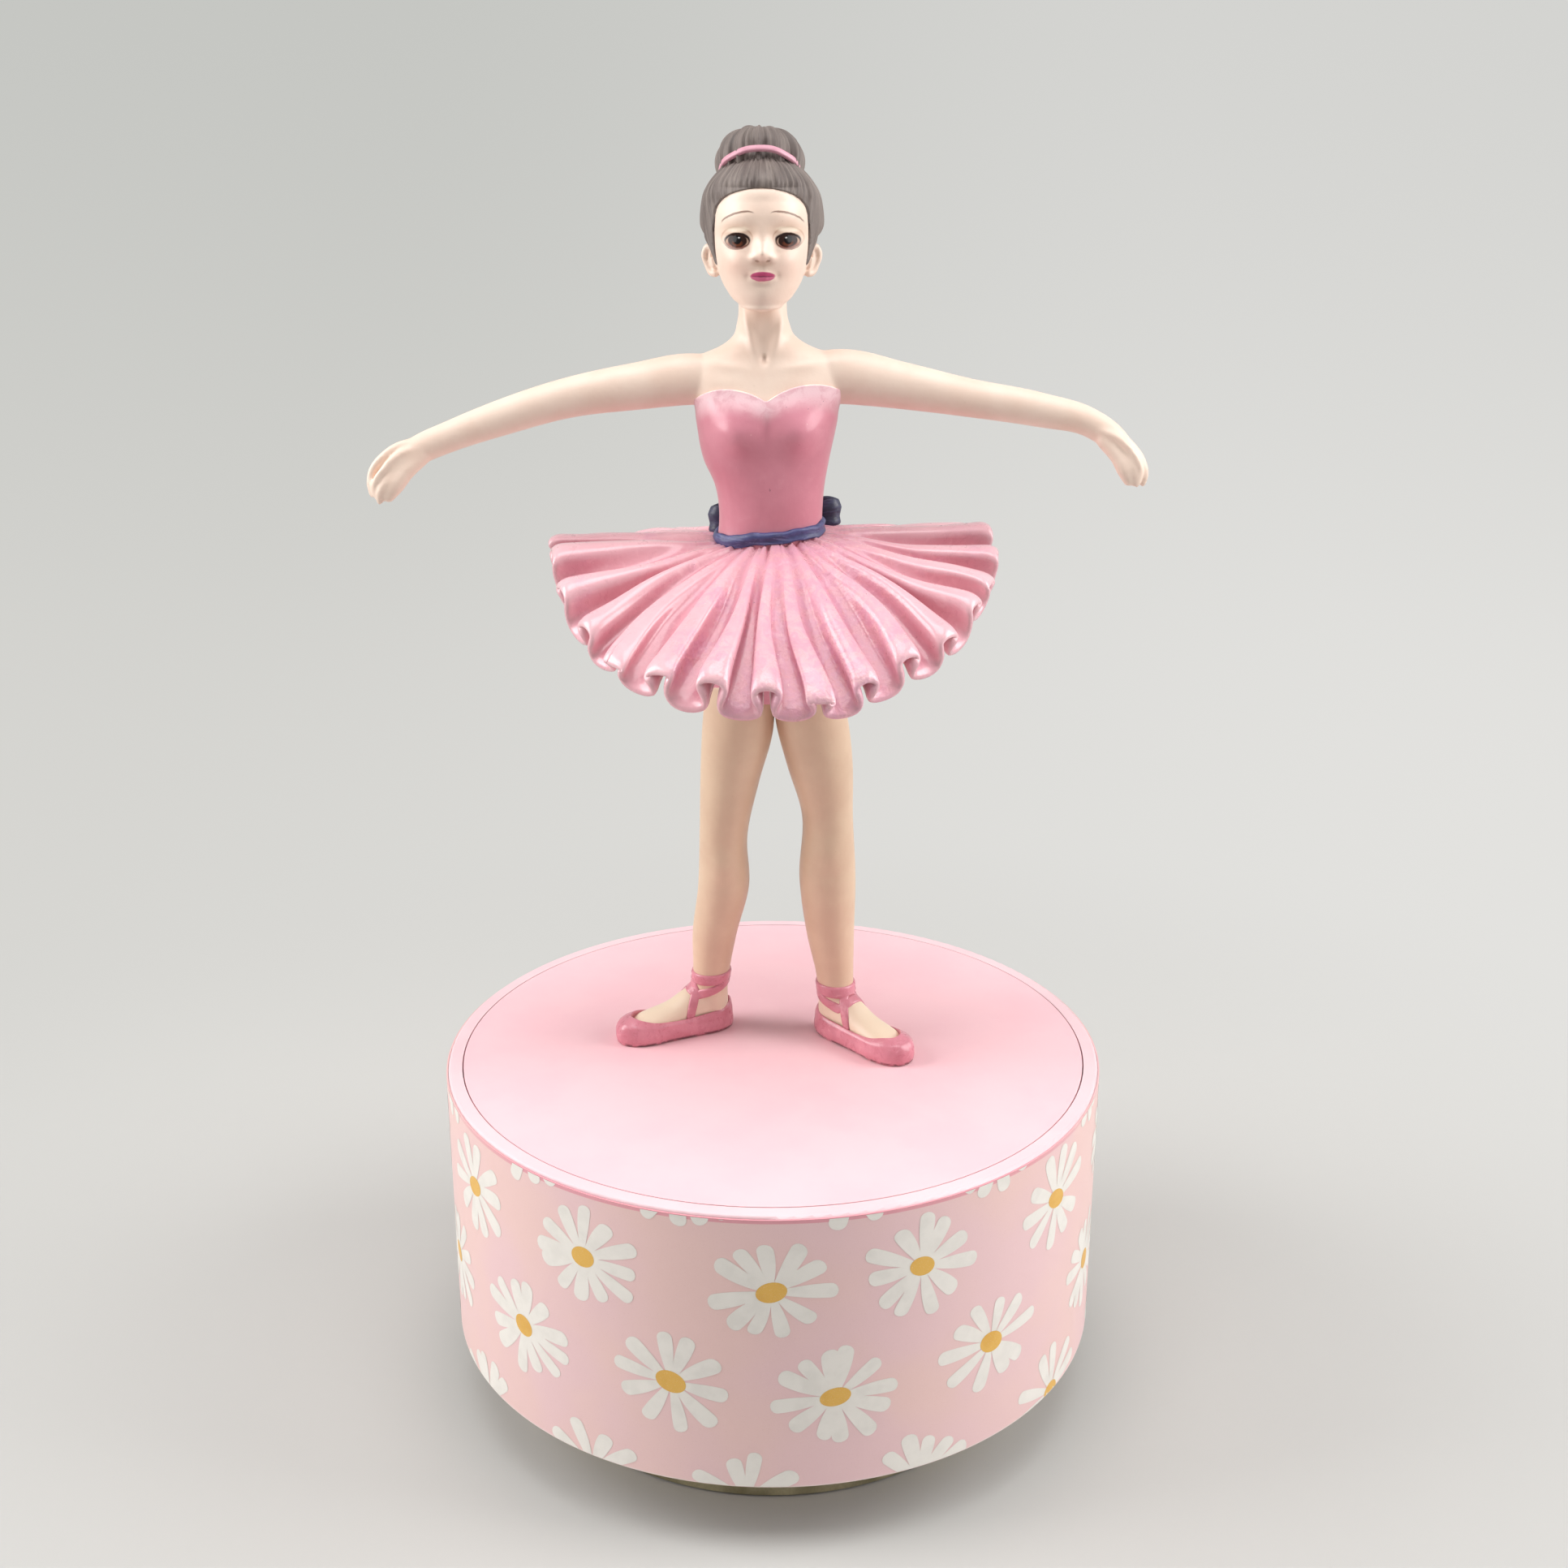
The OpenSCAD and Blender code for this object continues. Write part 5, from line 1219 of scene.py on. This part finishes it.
def film_paint():
    """Dusty pink film with a finely grained sheen, and a darker pink line of painted shade under the rim,
    stronger in front.
    """
    p, grain = film_base("printed film")
    base = p.mix(p.band(p.noise(0.05, 2, 0.5), 0.36, 0.66), rgb(240, 203, 198), rgb(238, 201, 203))
    base = p.over(base, rgb(246, 222, 222), p.band(grain, 0.58, 0.82, 0, 0.4))
    base = p.over(base, rgb(204, 158, 158), p.band(grain, 0.4, 0.2, 0, 0.3))
    _, y, height = p.axes(p.mm)
    # Painted shade: a darker pink line just under the drum's rim, strongest in front
    base = p.over(base, rgb(230, 152, 165), p.band(height, FILM_HIGH - 0.65, FILM_HIGH - 0.5, 0, 0.85),
                  p.band(y, -16, -42, 0.25, 1))
    p.colour(p.over(base, rgb(238, 222, 216), p.band(height, FILM_LOW + 0.3, FILM_LOW + 0.1, 0, 0.6)))
    return p.material


def petal_print(name, tone, shade):
    p, grain = film_base(name)
    base = p.mix(p.band(p.noise(0.3), 0.4, 0.7), tone, shade)
    p.colour(p.over(base, rgb(250, 248, 244), p.band(grain, 0.55, 0.85, 0, 0.3)))
    return p.material


arm_paint = skin_paint("arm and chest paint", ARM_TONE, ARM_SHADE)
leg_paint = skin_paint("leg paint", LEG_TONE, LEG_SHADE, paler_feet)
face_paint = skin_paint("face paint", ARM_TONE, ARM_SHADE, face_features)
bodice_paint = pink_paint("bodice paint", rgb(222, 144, 160), rgb(213, 133, 149), rgb(242, 185, 196),
                          gloss=0.28, worn=0.15, bust=True)
tutu_paint = pink_paint("tutu paint", rgb(231, 171, 181), rgb(225, 159, 171), rgb(248, 203, 209),
                        gloss=0.24, worn=0.45, skirt=True)
tie_paint = pink_paint("hair tie paint", rgb(228, 168, 184), rgb(216, 152, 170), rgb(242, 194, 206),
                       gloss=0.45)
sash_paint = navy_paint("navy sash paint", rgb(74, 76, 128), rgb(56, 58, 104), rgb(126, 130, 172))
# The bow's navy is darker than the sash's: painted shade, as the bow lies behind the body
shaded_bow_paint = navy_paint("navy bow paint", rgb(50, 52, 86), rgb(34, 36, 64), rgb(84, 90, 126))
shoe_pink = shoe_paint()
film = film_paint()
petal_white = petal_print("petal print", rgb(241, 236, 229), rgb(234, 229, 222))
middle_ochre = petal_print("flower middle print", rgb(232, 182, 84), rgb(226, 172, 72))

# ---------- the dancer's pieces ----------

chest, right_arm, left_arm = upper_body()
finish_piece("chest_and_neck", chest, arm_paint, "bust")
finish_piece("right_arm_and_hand", right_arm, arm_paint, "right_arm")
finish_piece("left_arm_and_hand", left_arm, arm_paint, "left_arm")

for side, stations, heel, ankle, knee in (("right", RIGHT_LEG, RIGHT_HEEL, 7.4, (-7.9, 31.5)),
                                          ("left", LEFT_LEG, LEFT_HEEL, 6.2, (8.9, 33.5))):
    form = leg(stations, heel, knee)
    surface = BVHTree.FromBMesh(form)
    finish_piece(side + "_shoe_ribbons", ribbons(surface, stations, heel, ankle), shoe_pink,
                 side + "_ribbons")
    finish_piece(side + "_leg_and_foot", form, leg_paint, side + "_leg")
    finish_piece(side + "_ballet_shoe", shoe(heel, 1 if side == "right" else -1), shoe_pink,
                 side + "_shoe")

finish_piece("leotard_bodice", leotard(), bodice_paint, "leotard")
finish_piece("waist_sash", waist_band(), sash_paint, "sash")
finish_piece("sash_bow", bow(), shaded_bow_paint, "bow")
finish_piece("pleated_tutu", tutu(), tutu_paint, "tutu", soften=1)
finish_piece("head_and_ears", head(), face_paint, "head")
finish_piece("combed_hair", hair(), hair_paint("combed hair paint", 90, 1.4), "hair")
finish_piece("hair_bun", bun(), hair_paint("bun hair paint", 70, 1.2), "bun")
finish_piece("bun_tie", hair_tie(), tie_paint, "hair_tie")

# ---------- the drum's film ----------

petals, middles = daisies()
finish_piece("film_sleeve", film_sleeve(), film, "daisy_film", base=0, sharp=40)
finish_piece("film_petals", petals, petal_white, "daisy_film", base=0)
finish_piece("film_flower_middles", middles, middle_ochre, "daisy_film", base=0)

# ---------- finishes of the pieces kept from the model ----------

# Each finish and the nodes that wear it; every other node is of turned steel
FINISHES = [
    (moulded("drum pink", rgb(247, 204, 210), rgb(245, 200, 207), 0.46, 2.0, 0.004,
             specular_ior_level=0.16), ["top_disc"]),
    (moulded("drum shell pink", rgb(242, 211, 216), rgb(240, 206, 212), 0.45, 2.0, 0.004,
             coat_weight=0.1, coat_roughness=0.3), ["drum_shell"]),
    (metal("tarnished foot metal", rgb(214, 206, 174), rgb(168, 160, 130), 0.4, grain=2.0), ["foot_dish"]),
    (moulded("grey rubber", rgb(74, 74, 76), rgb(58, 58, 60), 0.7, 4.0, 0.03), ["foot_pad"]),
    (metal("blued spring steel", rgb(104, 116, 140), rgb(74, 84, 108), 0.28, (1, 1, 12)), ["mainspring"]),
    (metal("brass", rgb(218, 184, 104), rgb(190, 150, 76), 0.28, (12, 1, 1)),
     ["tune_cylinder", "cylinder_pinion", "cylinder_gear", "governor_pinion", "governor_wheel",
      "governor_worm", "spring_barrel", "barrel_cover"]),
    (moulded("white nylon", rgb(236, 232, 222), rgb(226, 220, 208), 0.45),
     ["great_wheel", "fan", "thrust_washer"]),
    (metal("die-cast zinc", rgb(158, 160, 164), rgb(130, 132, 136), 0.5, grain=3.0),
     ["bedplate", "governor_bracket"]),
    (moulded("bottom plate plastic", rgb(236, 226, 224), rgb(228, 216, 214), 0.4), ["bottom_plate"]),
]
steel = metal("turned steel", rgb(196, 198, 202), rgb(160, 162, 166), 0.3, (1, 1, 12))
finish_of = {name: finish for finish, names in FINISHES for name in names}
for name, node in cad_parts.items():
    if not node.hide_render:
        node.data.materials.clear()
        node.data.materials.append(finish_of.get(name, steel))

# ---------- floor, light and camera ----------

FLOOR_NEAR = (196, 195, 192)
AIR_LIGHT, AIR_GREY = rgb(236, 236, 236), rgb(211, 211, 207)


def studio():
    """A floor that sweeps up into a backdrop, in metres. Round the box it takes shadows; further out it
    shows a pale grey glow, with painted light: lighter to the right and darker further back."""
    wide, near, far, sweep, high = 6, 2.2, 0.55, 0.6, 2.4

    def place(u, v):
        run = np.clip(v / 0.45, 0, 1) * (far + near) - near
        turn = np.clip((v - 0.45) / 0.25, 0, 1) * math.pi / 2
        climb = np.clip((v - 0.7) / 0.3, 0, 1) * high
        return (u - 0.5) * wide, run + sweep * np.sin(turn), sweep * (1 - np.cos(turn)) + climb

    floor = as_object(skin(12, 80, place, joined=False), "studio_floor")
    floor.data.shade_smooth()
    p = Paint("studio grey", roughness=0.9)
    p.colour(p.mix(p.band(p.noise(0.002, 2), 0.3, 0.7), rgb(*FLOOR_NEAR), rgb(*[c - 4 for c in FLOOR_NEAR])))
    x, y, z = p.axes(p.mm)
    # Painted light on the backdrop: its glow is lighter to the right and darker further back and up
    depth = p.band(p.math("ADD", y, z), 60, 1500)
    left = p.mix(depth, rgb(215, 214, 210), rgb(197, 198, 194))
    right = p.mix(depth, rgb(228, 227, 224), rgb(211, 211, 208))
    glow = p.node("ShaderNodeEmission", {"Color": p.mix(p.band(x, -260, 260), left, right), "Strength": 1.0})
    away = p.math("POWER", p.math("ADD", p.math("MULTIPLY", x, x), p.math("MULTIPLY", y, y)), 0.5)
    glow_share = p.math("MULTIPLY", p.band(away, 75, 260), p.seen())
    p.end_in("Material Output", glow_share, p.shader, glow)
    floor.data.materials.append(p.material)


def soft_light(name, place, aim, size, power, tone=(1, 1, 1)):
    """A rectangular lamp, in metres and watts."""
    lamp = bpy.data.lights.new(name, "AREA")
    lamp.shape = "RECTANGLE"
    lamp.size, lamp.size_y = size
    lamp.energy = power
    lamp.color = tone
    obj = bpy.data.objects.new(name, lamp)
    obj.location = place
    obj.rotation_euler = (Vector(aim) - Vector(place)).to_track_quat("-Z", "Y").to_euler()
    bpy.context.scene.collection.objects.link(obj)


def studio_air():
    """An even light from all round; where it is seen, it shows as a grey like the backdrop's."""
    world = bpy.data.worlds.new("studio air")
    bpy.context.scene.world = world
    world.use_nodes = True
    air = Nodes(world.node_tree)
    light = air.tree.nodes["Background"]
    light.inputs["Color"].default_value = AIR_LIGHT
    light.inputs["Strength"].default_value = 0.27
    air.end_in("World Output", air.seen(), light, air.node("ShaderNodeBackground", {"Color": AIR_GREY}))


studio()
studio_air()
soft_light("left softbox", (-0.6, -0.04, 0.38), (0, 0, 0.12), (0.4, 0.55), 4.0, (1, 0.99, 0.975))
soft_light("right softbox", (0.6, -0.04, 0.38), (0, 0, 0.12), (0.4, 0.55), 3.9, (1, 0.99, 0.98))
soft_light("overhead softbox", (0, -0.14, 0.84), (0, 0, 0.1), (0.7, 0.5), 4.0)

scene = bpy.context.scene
camera = bpy.data.cameras.new("camera")
camera.sensor_width = 36
camera.lens = 45.52
eye = bpy.data.objects.new("camera", camera)
eye.location = (0.001764, -0.29101, 0.20200)
eye.rotation_euler = (math.radians(70.95), 0, 0)
scene.collection.objects.link(eye)
scene.camera = eye
scene.view_settings.view_transform = "Standard"
